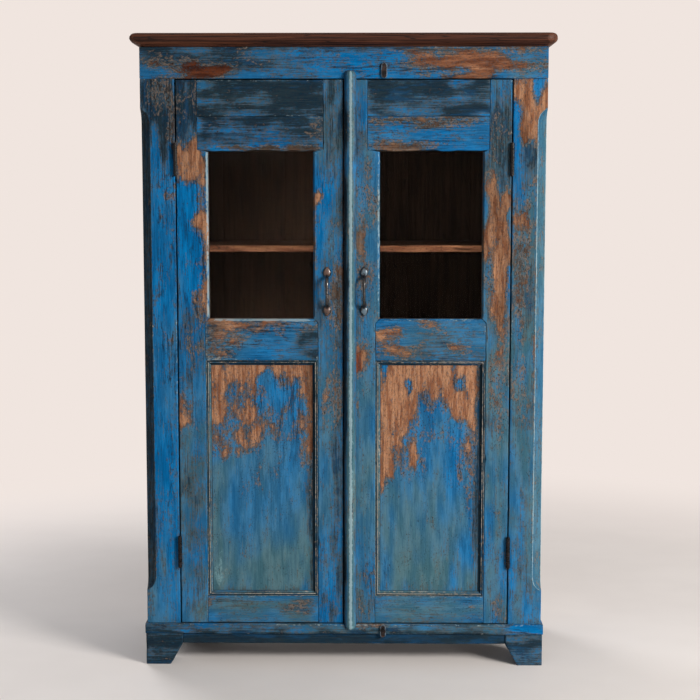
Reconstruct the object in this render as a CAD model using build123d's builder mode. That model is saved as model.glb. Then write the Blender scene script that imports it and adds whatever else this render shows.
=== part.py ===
from build123d import *
import os

os.makedirs("parts", exist_ok=True)

# A painted two-door cupboard: a window in the upper half of each door, a wooden panel in the lower half,
# a thick top board and a low base on four feet.
# Millimetres, +Z up, the front faces -Y, the origin is on the floor under the middle of the cupboard.

# Whole cupboard
overall_height = 1700.0
carcase_width = 1074.0
carcase_depth = 400.0

# Top board: a rounded nose over a sloping underside
top_overhang = 24.0
top_nose = 17.0
top_slope = 18.0
nose_round = 8.0
nose_underside_round = 6.0

# Front frame
frieze_height = 83.0
post_width = 91.0
post_depth = 45.0
post_tenon_width = 40.0
post_tenon_thickness = 14.0
post_tenon_length = 24.0
chamfer_width = 25.0
chamfer_below_frieze = 80.0
chamfer_above_base = 95.0
chamfer_run_out = 36.0

# Side frames and back
side_thickness = 24.0
rear_post_depth = 70.0
side_rail_height = 90.0
side_panel_thickness = 10.0
side_panel_setback = 7.0
back_thickness = 12.0
back_board_count = 6
back_board_gap = 1.0

# Inside
bottom_thickness = 18.0
shelf_thickness = 19.0
lower_shelf_rise = 503.5
shelf_spacing = 508.0
shelf_setback = 3.0
shelf_end_gap = 1.0
bearer_width = 22.0
bearer_height = 26.0

# Base
foot_height = 86.0
foot_width = 101.0
foot_depth = 100.0
foot_taper = 33.0
foot_setback = 1.5
base_rail_height = 28.5
base_rail_proud = 5.5
plinth_height = 28.0
plinth_thickness = 20.0
plinth_setback = 6.0

# Doors: all widths are measured from the edge that each name gives
door_thickness = 28.0
door_proud = 1.0
door_clearance = 2.5
hinge_gap = 3.0
meeting_gap = 3.0
door_stop_gap = 1.0
top_rail_height = 95.0
window_rail_height = 92.0
window_height = 443.0
lock_rail_height = 112.0
bottom_rail_height = 74.0
left_hinge_stile = 84.0
left_meeting_stile = 79.5
left_hinge_shoulder = 28.0
left_meeting_shoulder = 26.0
right_hinge_stile = 75.0
right_meeting_stile = 94.5
right_hinge_shoulder = 16.0
right_meeting_shoulder = 33.0
panel_step = 11.0
tenon_length = 22.0
tenon_shoulder = 4.0

# Door panels, their mouldings and the glass
panel_depth = 10.0
panel_thickness = 10.0
panel_tongue = 8.0
groove_slack = 1.0
moulding_width = 14.0
moulding_setback = 1.0
moulding_round = 6.0
mitre_gap = 0.3
glass_lip = 10.0
glass_thickness = 3.0
glass_edge_gap = 1.5
rebate_width = 9.0
glazing_bead_depth = 11.0

# Half-round bead on the meeting edge of the right door
bead_width = 32.0
bead_height = 15.0
bead_top_lap = 20.0
bead_bottom_lap = 15.0
bead_end_round = 12.0
bead_clearance = 0.8

# Butt hinges
upper_hinge_drop = 207.5
lower_hinge_rise = 197.0
hinge_length = 84.0
leaf_thickness = 2.5
leaf_depth = 24.0
knuckle_radius = 5.5
knuckle_count = 5
knuckle_gap = 0.8
knuckle_clearance = 0.4
pin_radius = 2.5
pin_clearance = 0.05
pin_offset = 4.5
pin_head_radius = 3.6
pin_head_height = 2.2
screw_head_radius = 3.6
screw_head_depth = 1.6
screw_radius = 1.8
screw_length = 16.0
screw_inset = 8.0
screws_per_leaf = 3

# Pull handles
handle_rise = 73.0
handle_length = 133.0
handle_reach = 30.0
handle_bar_radius = 4.5
handle_bend = 12.0
handle_leaf_length = 28.0
handle_leaf_width = 19.0
handle_leaf_thickness = 3.0
left_handle_inset = 42.5
right_handle_inset = 53.0
nail_head_radius = 3.0
nail_head_height = 1.4
nail_radius = 1.4
nail_length = 14.0

# Turn-buttons over the right door
button_inset = 105.0
button_width = 16.0
button_thickness = 4.0
button_tail = 12.5
button_lift = 14.0
top_button_arm = 27.0
bottom_button_arm = 21.0
button_collar_height = 1.5
button_collar_radius = 5.0
button_pin_radius = 2.5
button_play = 0.2
button_head_radius = 5.5
button_head_height = 2.0
button_screw_depth = 20.0

# Levels, from the floor up
base_bottom = foot_height
base_top = base_bottom + base_rail_height
bottom_board_top = base_top + bottom_thickness
top_underside = overall_height - top_nose - top_slope
frieze_bottom = top_underside - frieze_height
door_bottom = base_top + door_clearance
door_top = frieze_bottom - door_clearance
panel_bottom = door_bottom + bottom_rail_height
rail_seam = door_top - top_rail_height
window_top = rail_seam - window_rail_height
window_bottom = window_top - window_height
panel_top = window_bottom - lock_rail_height
lower_shelf_level = bottom_board_top + lower_shelf_rise
upper_shelf_level = lower_shelf_level + shelf_spacing
upper_hinge_level = door_top - upper_hinge_drop
lower_hinge_level = door_bottom + lower_hinge_rise
handle_level = window_bottom + handle_rise

# Distances from the middle plane
half_width = carcase_width / 2
side_inner = half_width - side_thickness
opening_half = half_width - post_width
door_outer = opening_half - hinge_gap
door_inner = meeting_gap / 2
pin_x = opening_half - hinge_gap / 2
base_half = half_width + base_rail_proud
foot_outer = base_half - foot_setback
foot_inner = foot_outer - foot_width
panel_skin = half_width - side_panel_setback

# Places from front to back, with the furthest reach in front and the back face evenly about the origin
front_reach = max(top_overhang, door_proud + handle_reach)
back_face = (carcase_depth + front_reach) / 2
front_face = back_face - carcase_depth
post_back = front_face + post_depth
back_inner = back_face - back_thickness
rear_post_front = back_inner - rear_post_depth
base_front = front_face - base_rail_proud
foot_front = base_front + foot_setback
door_front = front_face - door_proud
door_back = door_front + door_thickness
panel_front = door_front + panel_depth
panel_back = panel_front + panel_thickness
glass_front = door_front + glass_lip
glass_back = glass_front + glass_thickness
pin_y = door_front - pin_offset
leaf_back = door_front + leaf_depth
groove_depth = panel_tongue + groove_slack
tenon_inset = groove_depth + tenon_shoulder

UPRIGHT = (Align.CENTER, Align.CENTER, Align.MIN)
SIDES = (("left", -1), ("right", 1))
HINGE_LEVELS = (upper_hinge_level, lower_hinge_level)


def save(piece, name):
    """Label a finished piece and write it to its own file."""
    piece.part.label = name
    export_step(piece.part, f"parts/{name}.step")


def across(side, near, far):
    """The x range between two distances from the middle plane, on one side of it."""
    return min(side * near, side * far), max(side * near, side * far)


def grown(span, amount):
    """A (low, high) range made longer by the same amount at both ends."""
    return span[0] - amount, span[1] + amount


def close_to(value):
    """A narrow range about a value, which picks out the edges that lie there."""
    return grown((value, value), mitre_gap / 2)


def block(x, y, z, mode=Mode.ADD):
    """A straight block over three (low, high) ranges."""
    ranges = (x, y, z)
    centre = tuple((low + high) / 2 for low, high in ranges)
    with Locations(centre):
        Box(*[high - low for low, high in ranges], mode=mode)


def front_plate(points, y, mode=Mode.ADD):
    """A plate with a front-view outline of (x, z) points over the range y."""
    with BuildSketch(Plane.XZ.offset(-y[0])) as outline:
        with BuildLine():
            Polyline(*points, close=True)
        make_face()
    extrude(outline.sketch, amount=y[0] - y[1], mode=mode)


def side_plate(points, x, mode=Mode.ADD):
    """A plate with a side-view outline of (y, z) points over the range x."""
    with BuildSketch(Plane.YZ.offset(x[0])) as outline:
        with BuildLine():
            Polyline(*points, close=True)
        make_face()
    extrude(outline.sketch, amount=x[1] - x[0], mode=mode)


def straight_board(name, x, y, z):
    """A plain board over three (low, high) ranges."""
    with BuildPart() as board:
        block(x, y, z)
    save(board, name)


def rod(centre, radius, length, mode=Mode.ADD):
    """An upright round rod that starts at centre."""
    with Locations(centre):
        Cylinder(radius, length, align=UPRIGHT, mode=mode)


def countersunk_screw(place, mode=Mode.ADD):
    """A countersunk screw, or the hole for one, with its flat head on the plane given."""
    with Locations(place):
        Cone(screw_head_radius, screw_radius, screw_head_depth, align=UPRIGHT, mode=mode)
        Cylinder(screw_radius, screw_length, align=UPRIGHT, mode=mode)


def mitred_frame(x, y, z, width):
    """Four strips that lie inside the front-view rectangle x, z, with open mitres at the corners."""
    (left, right), (low, high) = x, z
    for edge, inner in ((left, left + width), (right, right - width)):
        front_plate([(edge, low), (inner, low + width), (inner, high - width), (edge, high)], y)
    for edge, inner in ((low, low + width), (high, high - width)):
        start, end = left + mitre_gap, right - mitre_gap
        front_plate([(start, edge), (end, edge), (end - width, inner), (start + width, inner)], y)


# Top board
with BuildPart() as top_board:
    with BuildSketch(Plane.XY.offset(top_underside)):
        with Locations((0, (front_face + back_face) / 2)):
            Rectangle(carcase_width, carcase_depth)
    with BuildSketch(Plane.XY.offset(top_underside + top_slope)):
        with Locations((0, (front_face - top_overhang + back_face) / 2)):
            Rectangle(carcase_width + 2 * top_overhang, carcase_depth + top_overhang)
    loft()
    nose_bottom = overall_height - top_nose
    nose_x = (-half_width - top_overhang, half_width + top_overhang)
    block(nose_x, (front_face - top_overhang, back_face), (nose_bottom, overall_height))
    top_edges = top_board.faces().sort_by(Axis.Z)[-1].edges()
    fillet(top_edges.sort_by(Axis.Y)[:-1], nose_round)
    lower_edges = top_board.edges().filter_by_position(Axis.Z, *close_to(nose_bottom))
    fillet(lower_edges, nose_underside_round)
save(top_board, "top_board")


def post_tenon(side, z):
    """The tenon of a front post, or its mortise, over the range z."""
    middle_x = side * (opening_half + half_width) / 2
    middle_y = (front_face + post_back) / 2
    x = grown((middle_x, middle_x), post_tenon_width / 2)
    y = grown((middle_y, middle_y), post_tenon_thickness / 2)
    return x, y, z


def side_panel_box(side, slack):
    """The side panel with its tongues, or with some slack the grooves that it sits in."""
    reach = panel_tongue + slack
    x = across(side, panel_skin - side_panel_thickness, panel_skin)
    y = grown((post_back, rear_post_front), reach)
    z = grown((base_top + side_rail_height, frieze_bottom), reach)
    return x, y, z


upper_tenon_z = (frieze_bottom, frieze_bottom + post_tenon_length)
lower_tenon_z = (base_top - post_tenon_length, base_top)

# Turn-button places: each pivot is a button's tail length away from the door's edge
button_x = door_inner + button_inset
top_pivot_z = frieze_bottom + button_lift
bottom_pivot_z = base_top - button_lift


def pivot_plane(face_y, z):
    """The plane of a turn-button's screw: on a board's front face, looking forwards."""
    return Plane(origin=(button_x, face_y, z), x_dir=(1, 0, 0), z_dir=(0, -1, 0))


top_pivot = pivot_plane(front_face, top_pivot_z)
bottom_pivot = pivot_plane(base_front, bottom_pivot_z)


def pivot_hole(pivot):
    """Cut the screw hole of a turn-button into the board behind it."""
    with Locations(pivot.offset(-button_screw_depth)):
        Cylinder(button_pin_radius, button_screw_depth, align=UPRIGHT, mode=Mode.SUBTRACT)


# Frieze rail, over both front posts
with BuildPart() as frieze_rail:
    block((-half_width, half_width), (front_face, post_back), (frieze_bottom, top_underside))
    for label, side in SIDES:
        block(*post_tenon(side, upper_tenon_z), mode=Mode.SUBTRACT)
        block(*side_panel_box(side, groove_slack), mode=Mode.SUBTRACT)
    pivot_hole(top_pivot)
save(frieze_rail, "frieze_rail")

# Base rails: the front one carries the posts and stands proud of them
base_z = (base_bottom, base_top)
with BuildPart() as front_base_rail:
    block((-base_half, base_half), (base_front, post_back), base_z)
    for label, side in SIDES:
        block(*post_tenon(side, lower_tenon_z), mode=Mode.SUBTRACT)
    pivot_hole(bottom_pivot)
save(front_base_rail, "front_base_rail")

back_rail_front = back_face - side_thickness
straight_board("back_base_rail", (-base_half, base_half), (back_rail_front, back_face), base_z)

plinth_front = base_front + plinth_setback
plinth_y = (plinth_front, plinth_front + plinth_thickness)
straight_board("plinth_rail", (-foot_inner, foot_inner), plinth_y, (base_bottom - plinth_height, base_bottom))


def leaf_z(level):
    """The range of heights of a hinge around its middle."""
    return level - hinge_length / 2, level + hinge_length / 2


def leaf_screw_planes(side, face, outwards, level):
    """Where the screws of one leaf go: on the leaf's face, pointing into the wood."""
    pitch = hinge_length / screws_per_leaf
    planes = []
    for index in range(screws_per_leaf):
        place = (side * face, leaf_back - screw_inset, leaf_z(level)[0] + (index + 0.5) * pitch)
        planes.append(Plane(origin=place, z_dir=(side * outwards, 0, 0)))
    return planes


def hinge_leaf(side, x, level, first_knuckle, screw_planes):
    """One leaf: a plate in the wood's edge, every second knuckle round the pin, and screw holes."""
    z = leaf_z(level)
    knuckle_pitch = hinge_length / knuckle_count
    block(x, (pin_y, leaf_back), z)
    for index in range(knuckle_count):
        start = z[0] + index * knuckle_pitch
        if index % 2 == first_knuckle:
            continue
        rod((side * pin_x, pin_y, start), knuckle_radius + knuckle_clearance, knuckle_pitch, Mode.SUBTRACT)
    for index in range(first_knuckle, knuckle_count, 2):
        start = z[0] + index * knuckle_pitch + knuckle_gap / 2
        rod((side * pin_x, pin_y, start), knuckle_radius, knuckle_pitch - knuckle_gap)
    rod((side * pin_x, pin_y, z[0]), pin_radius + pin_clearance, hinge_length, Mode.SUBTRACT)
    for plane in screw_planes:
        countersunk_screw(plane, Mode.SUBTRACT)


# Each side: front and rear post, two rails, a panel in their grooves, a base rail and two feet
for label, side in SIDES:
    groove = side_panel_box(side, groove_slack)
    wall_x = across(side, side_inner, half_width)
    between_posts = (post_back, rear_post_front)

    with BuildPart() as front_post:
        block(across(side, opening_half, half_width), (front_face, post_back), (base_top, frieze_bottom))
        block(*post_tenon(side, upper_tenon_z))
        block(*post_tenon(side, lower_tenon_z))
        block(*groove, mode=Mode.SUBTRACT)
        # Stopped chamfer: a slope that runs in, stays and runs out along the outer corner
        corner = Plane(origin=(side * half_width, front_face, 0), x_dir=(-side, 1, 0), z_dir=(1, side, 0))
        chamfer_low = base_top + chamfer_above_base
        chamfer_high = frieze_bottom - chamfer_below_frieze
        deep = chamfer_width / 2**0.5
        with BuildSketch(corner):
            with BuildLine():
                Polyline(
                    (-deep, chamfer_low),
                    (0, chamfer_low),
                    (deep, chamfer_low + chamfer_run_out),
                    (deep, chamfer_high - chamfer_run_out),
                    (0, chamfer_high),
                    (-deep, chamfer_high),
                    close=True,
                )
            make_face()
        extrude(amount=chamfer_width, both=True, mode=Mode.SUBTRACT)
        for level in HINGE_LEVELS:
            leaf_x = across(side, opening_half, opening_half + leaf_thickness)
            block(leaf_x, (front_face - door_proud, leaf_back), leaf_z(level), mode=Mode.SUBTRACT)
            for plane in leaf_screw_planes(side, opening_half, 1, level):
                countersunk_screw(plane, Mode.SUBTRACT)
    save(front_post, f"{label}_front_post")

    with BuildPart() as rear_post:
        block(wall_x, (rear_post_front, back_inner), (base_top, top_underside))
        block(*groove, mode=Mode.SUBTRACT)
    save(rear_post, f"{label}_rear_post")

    with BuildPart() as side_top_rail:
        block(wall_x, between_posts, (frieze_bottom, top_underside))
        block(*groove, mode=Mode.SUBTRACT)
    save(side_top_rail, f"{label}_side_top_rail")

    with BuildPart() as side_bottom_rail:
        block(wall_x, between_posts, (base_top, base_top + side_rail_height))
        block(*groove, mode=Mode.SUBTRACT)
    save(side_bottom_rail, f"{label}_side_bottom_rail")

    straight_board(f"{label}_side_panel", *side_panel_box(side, 0))
    base_y = (post_back, back_rail_front)
    straight_board(f"{label}_base_rail", across(side, side_inner, base_half), base_y, base_z)

    # Foot blocks taper towards the floor on their two inner sides
    knee = foot_height - plinth_height
    front_view = [
        (side * foot_outer, 0),
        (side * foot_outer, foot_height),
        (side * foot_inner, foot_height),
        (side * foot_inner, knee),
        (side * (foot_inner + foot_taper), 0),
    ]
    for place, outer_y, inwards in (("front", foot_front, 1), ("rear", back_face, -1)):
        inner_y = outer_y + inwards * foot_depth
        side_view = [
            (outer_y, 0),
            (outer_y, foot_height),
            (inner_y, foot_height),
            (inner_y, knee),
            (inner_y - inwards * foot_taper, 0),
        ]
        with BuildPart() as foot:
            front_plate(front_view, (min(outer_y, inner_y), max(outer_y, inner_y)))
            side_plate(side_view, across(side, foot_inner, foot_outer), Mode.INTERSECT)
        save(foot, f"{label}_{place}_foot")

# Back boards, side by side over the whole back
with BuildPart() as back_boards:
    board_pitch = (carcase_width + back_board_gap) / back_board_count
    for index in range(back_board_count):
        start = -half_width + index * board_pitch
        board_x = (start, start + board_pitch - back_board_gap)
        block(board_x, (back_inner, back_face), (base_top, top_underside))
save(back_boards, "back_boards")

# Bottom board on the base rails: its front edge stands behind the doors and stops them
with BuildPart() as bottom_board:
    block((-side_inner, side_inner), (post_back, back_inner), (base_top, bottom_board_top))
    block((-opening_half, opening_half), (door_back + door_stop_gap, post_back), (base_top, bottom_board_top))
save(bottom_board, "bottom_board")

# Shelves, each on two bearers that are fixed to the posts
shelf_end = side_inner - shelf_end_gap
shelf_y = (post_back + shelf_setback, back_inner)
for name, level in (("upper_shelf", upper_shelf_level), ("lower_shelf", lower_shelf_level)):
    straight_board(name, (-shelf_end, shelf_end), shelf_y, (level - shelf_thickness, level))

with BuildPart() as shelf_bearers:
    for level in (upper_shelf_level, lower_shelf_level):
        bearer_top = level - shelf_thickness
        for label, side in SIDES:
            bearer_x = across(side, side_inner - bearer_width, side_inner)
            block(bearer_x, (post_back, back_inner), (bearer_top - bearer_height, bearer_top))
save(shelf_bearers, "shelf_bearers")

# Hinge leaves on the front posts, their screws, and the pins
with BuildPart() as frame_hinge_leaves:
    for label, side in SIDES:
        for level in HINGE_LEVELS:
            leaf_x = across(side, opening_half, opening_half + leaf_thickness)
            hinge_leaf(side, leaf_x, level, 0, leaf_screw_planes(side, opening_half, 1, level))
save(frame_hinge_leaves, "frame_hinge_leaves")

with BuildPart() as frame_hinge_screws:
    for label, side in SIDES:
        for level in HINGE_LEVELS:
            for plane in leaf_screw_planes(side, opening_half, 1, level):
                countersunk_screw(plane)
save(frame_hinge_screws, "frame_hinge_screws")

with BuildPart() as hinge_pins:
    for label, side in SIDES:
        for level in HINGE_LEVELS:
            low, high = leaf_z(level)
            rod((side * pin_x, pin_y, low), pin_radius, hinge_length)
            rod((side * pin_x, pin_y, high), pin_head_radius, pin_head_height)
            rod((side * pin_x, pin_y, low - pin_head_height), pin_head_radius, pin_head_height)
save(hinge_pins, "hinge_pins")

# Turn-buttons at rest: the tail stops at the door's edge and the long arm points away from the door
button_z = (button_collar_height + button_play, button_collar_height + button_play + button_thickness)
for name, pivot, arm, up in (
    ("top_turn_button", top_pivot, top_button_arm, 1),
    ("bottom_turn_button", bottom_pivot, bottom_button_arm, -1),
):
    with BuildPart() as button:
        with BuildSketch(pivot.offset(button_z[0])):
            with Locations((0, up * (arm - button_tail) / 2)):
                SlotOverall(arm + button_tail, button_width, rotation=90)
            Circle(button_pin_radius + pin_clearance, mode=Mode.SUBTRACT)
        extrude(amount=button_thickness)
    save(button, name)

with BuildPart() as button_screws:
    for pivot in (top_pivot, bottom_pivot):
        head_start = button_z[1] + button_play
        with Locations(pivot):
            Cylinder(button_collar_radius, button_collar_height, align=UPRIGHT)
        with Locations(pivot.offset(-button_screw_depth)):
            Cylinder(button_pin_radius, button_screw_depth + head_start, align=UPRIGHT)
        with Locations(pivot.offset(head_start)):
            Cylinder(button_head_radius, button_head_height, align=UPRIGHT)
save(button_screws, "button_screws")

# The two doors
DOORS = (
    (
        *SIDES[0],
        (left_hinge_stile, left_meeting_stile),
        (left_hinge_shoulder, left_meeting_shoulder),
        left_handle_inset,
    ),
    (
        *SIDES[1],
        (right_hinge_stile, right_meeting_stile),
        (right_hinge_shoulder, right_meeting_shoulder),
        right_handle_inset,
    ),
)

for label, side, stiles, shoulders, handle_inset in DOORS:
    # Distances from the middle plane: window, panel opening and rail ends, each from meeting to hinge side
    window = (door_inner + stiles[1], door_outer - stiles[0])
    opening = grown(window, panel_step)
    upper_rail = (window[0] - shoulders[1], window[1] + shoulders[0])
    door_y = (door_front, door_back)
    tenon_y = (panel_front, panel_back)

    glass_pocket = (
        across(side, *grown(window, rebate_width)),
        (glass_front, door_back),
        grown((window_bottom, window_top), rebate_width),
    )
    panel_groove = (
        across(side, *grown(opening, groove_depth)),
        tenon_y,
        grown((panel_bottom, panel_top), groove_depth),
    )

    # Rails: ends, outline and tenon heights
    mitre_low = window_bottom - panel_step
    rails = {
        "top_rail": (
            upper_rail,
            [
                (upper_rail[0], rail_seam),
                (upper_rail[1], rail_seam),
                (upper_rail[1], door_top),
                (upper_rail[0], door_top),
            ],
            (rail_seam + tenon_inset, door_top - tenon_inset),
        ),
        "window_rail": (
            upper_rail,
            [
                (upper_rail[0], window_top),
                (upper_rail[1], window_top),
                (upper_rail[1], rail_seam),
                (upper_rail[0], rail_seam),
            ],
            (window_top + rebate_width + tenon_shoulder, rail_seam - tenon_inset),
        ),
        "lock_rail": (
            opening,
            [
                (opening[0], panel_top),
                (opening[1], panel_top),
                (opening[1], mitre_low),
                (window[1], window_bottom),
                (window[0], window_bottom),
                (opening[0], mitre_low),
            ],
            (panel_top + tenon_inset, mitre_low - tenon_shoulder),
        ),
        "bottom_rail": (
            opening,
            [
                (opening[0], door_bottom),
                (opening[1], door_bottom),
                (opening[1], panel_bottom),
                (opening[0], panel_bottom),
            ],
            (door_bottom + tenon_inset, panel_bottom - tenon_inset),
        ),
    }
    for rail, (ends, outline, tenon_z) in rails.items():
        with BuildPart() as board:
            front_plate([(side * reach, z) for reach, z in outline], door_y)
            block(*glass_pocket, mode=Mode.SUBTRACT)
            block(*panel_groove, mode=Mode.SUBTRACT)
            block(across(side, ends[0] - tenon_length, ends[0]), tenon_y, tenon_z)
            block(across(side, ends[1], ends[1] + tenon_length), tenon_y, tenon_z)
        save(board, f"{label}_door_{rail}")

    # Stiles: the inner edge steps in at the window and out again behind the rail ends
    hinge_leaf_x = across(side, door_outer - leaf_thickness, door_outer)
    for stile, edge, end in (("meeting", door_inner, 0), ("hinge", door_outer, 1)):
        outline = [
            (edge, door_bottom),
            (opening[end], door_bottom),
            (opening[end], mitre_low),
            (window[end], window_bottom),
            (window[end], window_top),
            (upper_rail[end], window_top),
            (upper_rail[end], door_top),
            (edge, door_top),
        ]
        with BuildPart() as board:
            front_plate([(side * reach, z) for reach, z in outline], door_y)
            block(*glass_pocket, mode=Mode.SUBTRACT)
            block(*panel_groove, mode=Mode.SUBTRACT)
            for ends, rail_outline, tenon_z in rails.values():
                outwards = tenon_length if end else -tenon_length
                block(across(side, ends[end], ends[end] + outwards), tenon_y, tenon_z, mode=Mode.SUBTRACT)
            if stile == "hinge":
                for level in HINGE_LEVELS:
                    leaf_y = (door_front - door_proud, leaf_back)
                    block(hinge_leaf_x, leaf_y, leaf_z(level), mode=Mode.SUBTRACT)
                    for plane in leaf_screw_planes(side, door_outer, -1, level):
                        countersunk_screw(plane, Mode.SUBTRACT)
            if stile == "meeting":
                handle_x = side * (door_inner + handle_inset)
                nail_reach = (handle_length - handle_leaf_length) / 2
                nail_planes = [
                    Plane(
                        origin=(handle_x, door_front - handle_leaf_thickness, handle_level + up * nail_reach),
                        x_dir=(1, 0, 0),
                        z_dir=(0, -1, 0),
                    )
                    for up in (-1, 1)
                ]
                for plane in nail_planes:
                    with Locations(plane.offset(-nail_length)):
                        Cylinder(nail_radius, nail_length, align=UPRIGHT, mode=Mode.SUBTRACT)
        save(board, f"{label}_door_{stile}_stile")

    # Panel in the grooves, with a mitred moulding planted round it
    opening_x = across(side, *opening)
    opening_z = (panel_bottom, panel_top)
    panel_z = grown(opening_z, panel_tongue)
    straight_board(f"{label}_door_panel", grown(opening_x, panel_tongue), tenon_y, panel_z)

    with BuildPart() as moulding:
        moulding_y = (door_front + moulding_setback, panel_front)
        mitred_frame(opening_x, moulding_y, opening_z, moulding_width)
        inner_x = grown(opening_x, -moulding_width)
        inner_z = grown(opening_z, -moulding_width)
        arrises = moulding.edges().filter_by_position(Axis.Y, *close_to(moulding_y[0]))
        arrises = arrises.filter_by_position(Axis.X, *grown(inner_x, mitre_gap))
        arrises = arrises.filter_by_position(Axis.Z, *grown(inner_z, mitre_gap))
        fillet(arrises, moulding_round)
    save(moulding, f"{label}_door_panel_moulding")

    # Glass in its rebate, held from behind by mitred beads
    pocket_x, pocket_y, pocket_z = glass_pocket
    glass_x = grown(pocket_x, -glass_edge_gap)
    glass_z = grown(pocket_z, -glass_edge_gap)
    straight_board(f"{label}_door_glass", glass_x, (glass_front, glass_back), glass_z)
    with BuildPart() as glazing_beads:
        mitred_frame(pocket_x, (glass_back, glass_back + glazing_bead_depth), pocket_z, rebate_width)
    save(glazing_beads, f"{label}_door_glazing_beads")

    # Pull handle: a bent round bar between two leaf-shaped plates that are nailed on
    with BuildPart() as handle:
        bar_y = door_front - handle_reach + handle_bar_radius
        plate_y = (door_front - handle_leaf_thickness, door_front)
        bar_z = handle_length / 2 - handle_leaf_length + handle_bar_radius
        with BuildLine() as bar_path:
            FilletPolyline(
                (handle_x, plate_y[0], handle_level - bar_z),
                (handle_x, bar_y, handle_level - bar_z),
                (handle_x, bar_y, handle_level + bar_z),
                (handle_x, plate_y[0], handle_level + bar_z),
                radius=handle_bend,
            )
        with BuildSketch(Plane(origin=bar_path.line @ 0, z_dir=bar_path.line % 0)):
            Circle(handle_bar_radius)
        sweep(path=bar_path.line)
        for up in (-1, 1):
            tip_z = handle_level + up * handle_length / 2
            root_z = tip_z - up * handle_leaf_length
            belly_z = tip_z - up * handle_leaf_length / 2
            with BuildSketch(Plane.XZ.offset(-plate_y[1])):
                with BuildLine():
                    for way in (-1, 1):
                        belly_x = handle_x + way * handle_leaf_width / 2
                        ThreePointArc((handle_x, tip_z), (belly_x, belly_z), (handle_x, root_z))
                make_face()
            extrude(amount=handle_leaf_thickness)
        for plane in nail_planes:
            with Locations(plane.offset(-handle_leaf_thickness)):
                Cylinder(nail_radius, handle_leaf_thickness, align=UPRIGHT, mode=Mode.SUBTRACT)
    save(handle, f"{label}_door_handle")

    with BuildPart() as door_hinge_leaves:
        for level in HINGE_LEVELS:
            hinge_leaf(side, hinge_leaf_x, level, 1, leaf_screw_planes(side, door_outer, -1, level))
    save(door_hinge_leaves, f"{label}_door_hinge_leaves")

    with BuildPart() as door_fasteners:
        for level in HINGE_LEVELS:
            for plane in leaf_screw_planes(side, door_outer, -1, level):
                countersunk_screw(plane)
        for plane in nail_planes:
            with Locations(plane.offset(-nail_length)):
                Cylinder(nail_radius, nail_length, align=UPRIGHT)
            with Locations(plane):
                Cylinder(nail_head_radius, nail_head_height, align=UPRIGHT)
    save(door_fasteners, f"{label}_door_fasteners")

# Half-round bead on the right door: it laps over the frieze above and over the base rail below
with BuildPart() as meeting_bead:
    bead_low = base_top - bead_bottom_lap
    bead_high = frieze_bottom + bead_top_lap
    bead_edges = (door_inner, door_inner + bead_width)
    bead_middle = door_inner + bead_width / 2
    with BuildSketch(Plane.XY.offset(bead_low)):
        with BuildLine():
            ThreePointArc(
                (bead_edges[0], door_front),
                (bead_middle, door_front - bead_height),
                (bead_edges[1], door_front),
            )
            Line((bead_edges[0], door_front), (bead_edges[1], door_front))
        make_face()
    extrude(amount=bead_high - bead_low)
    with BuildSketch(Plane.XZ.offset(-door_front)):
        with Locations((bead_middle, (bead_low + bead_high) / 2)):
            RectangleRounded(bead_width, bead_high - bead_low, bead_end_round)
    extrude(amount=bead_height, mode=Mode.INTERSECT)
    notch_y = (base_front - bead_clearance, door_front)
    block(bead_edges, notch_y, (bead_low, door_bottom), mode=Mode.SUBTRACT)
save(meeting_bead, "meeting_bead")
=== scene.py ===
import math

import bpy
import numpy as np
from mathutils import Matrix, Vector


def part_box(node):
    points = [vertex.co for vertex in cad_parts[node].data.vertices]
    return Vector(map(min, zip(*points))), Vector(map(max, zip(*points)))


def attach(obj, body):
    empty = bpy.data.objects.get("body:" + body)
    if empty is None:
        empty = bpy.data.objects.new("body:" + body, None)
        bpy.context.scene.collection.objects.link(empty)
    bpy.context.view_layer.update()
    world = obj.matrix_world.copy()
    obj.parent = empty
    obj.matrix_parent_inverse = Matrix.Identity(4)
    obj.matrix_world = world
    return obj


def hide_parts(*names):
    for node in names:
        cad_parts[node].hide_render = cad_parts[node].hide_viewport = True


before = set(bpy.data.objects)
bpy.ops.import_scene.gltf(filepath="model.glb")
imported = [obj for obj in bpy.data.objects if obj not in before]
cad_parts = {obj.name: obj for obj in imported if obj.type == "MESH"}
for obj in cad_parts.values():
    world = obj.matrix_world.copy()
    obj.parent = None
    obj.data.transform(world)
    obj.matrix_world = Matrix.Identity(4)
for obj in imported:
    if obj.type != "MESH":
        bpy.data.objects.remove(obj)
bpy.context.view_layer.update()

# Feet: four hardwood blocks, sawn to a taper on the two sides that face inwards, glued and nailed under the
# base. They have the same blue paint as the rest, here dark and rubbed, with the grain lying level, and a
# band of painted shadow from the base rail along their tops.
X, Y, Z = 0, 1, 2
RIPPLE_WAVES = 6


def corners(node):
    """The lowest and highest corner of a CAD node as arrays, in metres."""
    low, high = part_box(node)
    return np.array(low), np.array(high)


def ripple(points, wavelength, seed):
    """Gentle unevenness from 0 to 1: the mean of a few sine waves, each with its own direction, length and
    phase."""
    draw = np.random.default_rng(seed)
    total = np.zeros(points.shape[:-1])
    for _ in range(RIPPLE_WAVES):
        direction = draw.normal(size=3)
        length = wavelength * draw.uniform(0.6, 1.7)
        direction *= 2 * math.pi / (np.linalg.norm(direction) * length)
        total += np.sin(points @ direction + draw.uniform(0, 2 * math.pi))
    return 0.5 + total / (2 * RIPPLE_WAVES)


POINT_SPACING = 0.009
ARRIS_BAND = 0.003
MARK_HALF = 0.0002


def stations(length, marks=()):
    """Shares of a length at which points stand: near both ends, evenly between, and on either side of each
    mark."""
    even = np.linspace(0, length, max(2, round(length / POINT_SPACING)) + 1)[1:-1]
    places = list(even) + [ARRIS_BAND, length - ARRIS_BAND]
    for mark in marks:
        places += [mark - MARK_HALF, mark + MARK_HALF]
    shares = np.unique(np.round(np.array(places) / length, 6))
    return shares[(shares > 0) & (shares < 1)]


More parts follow.
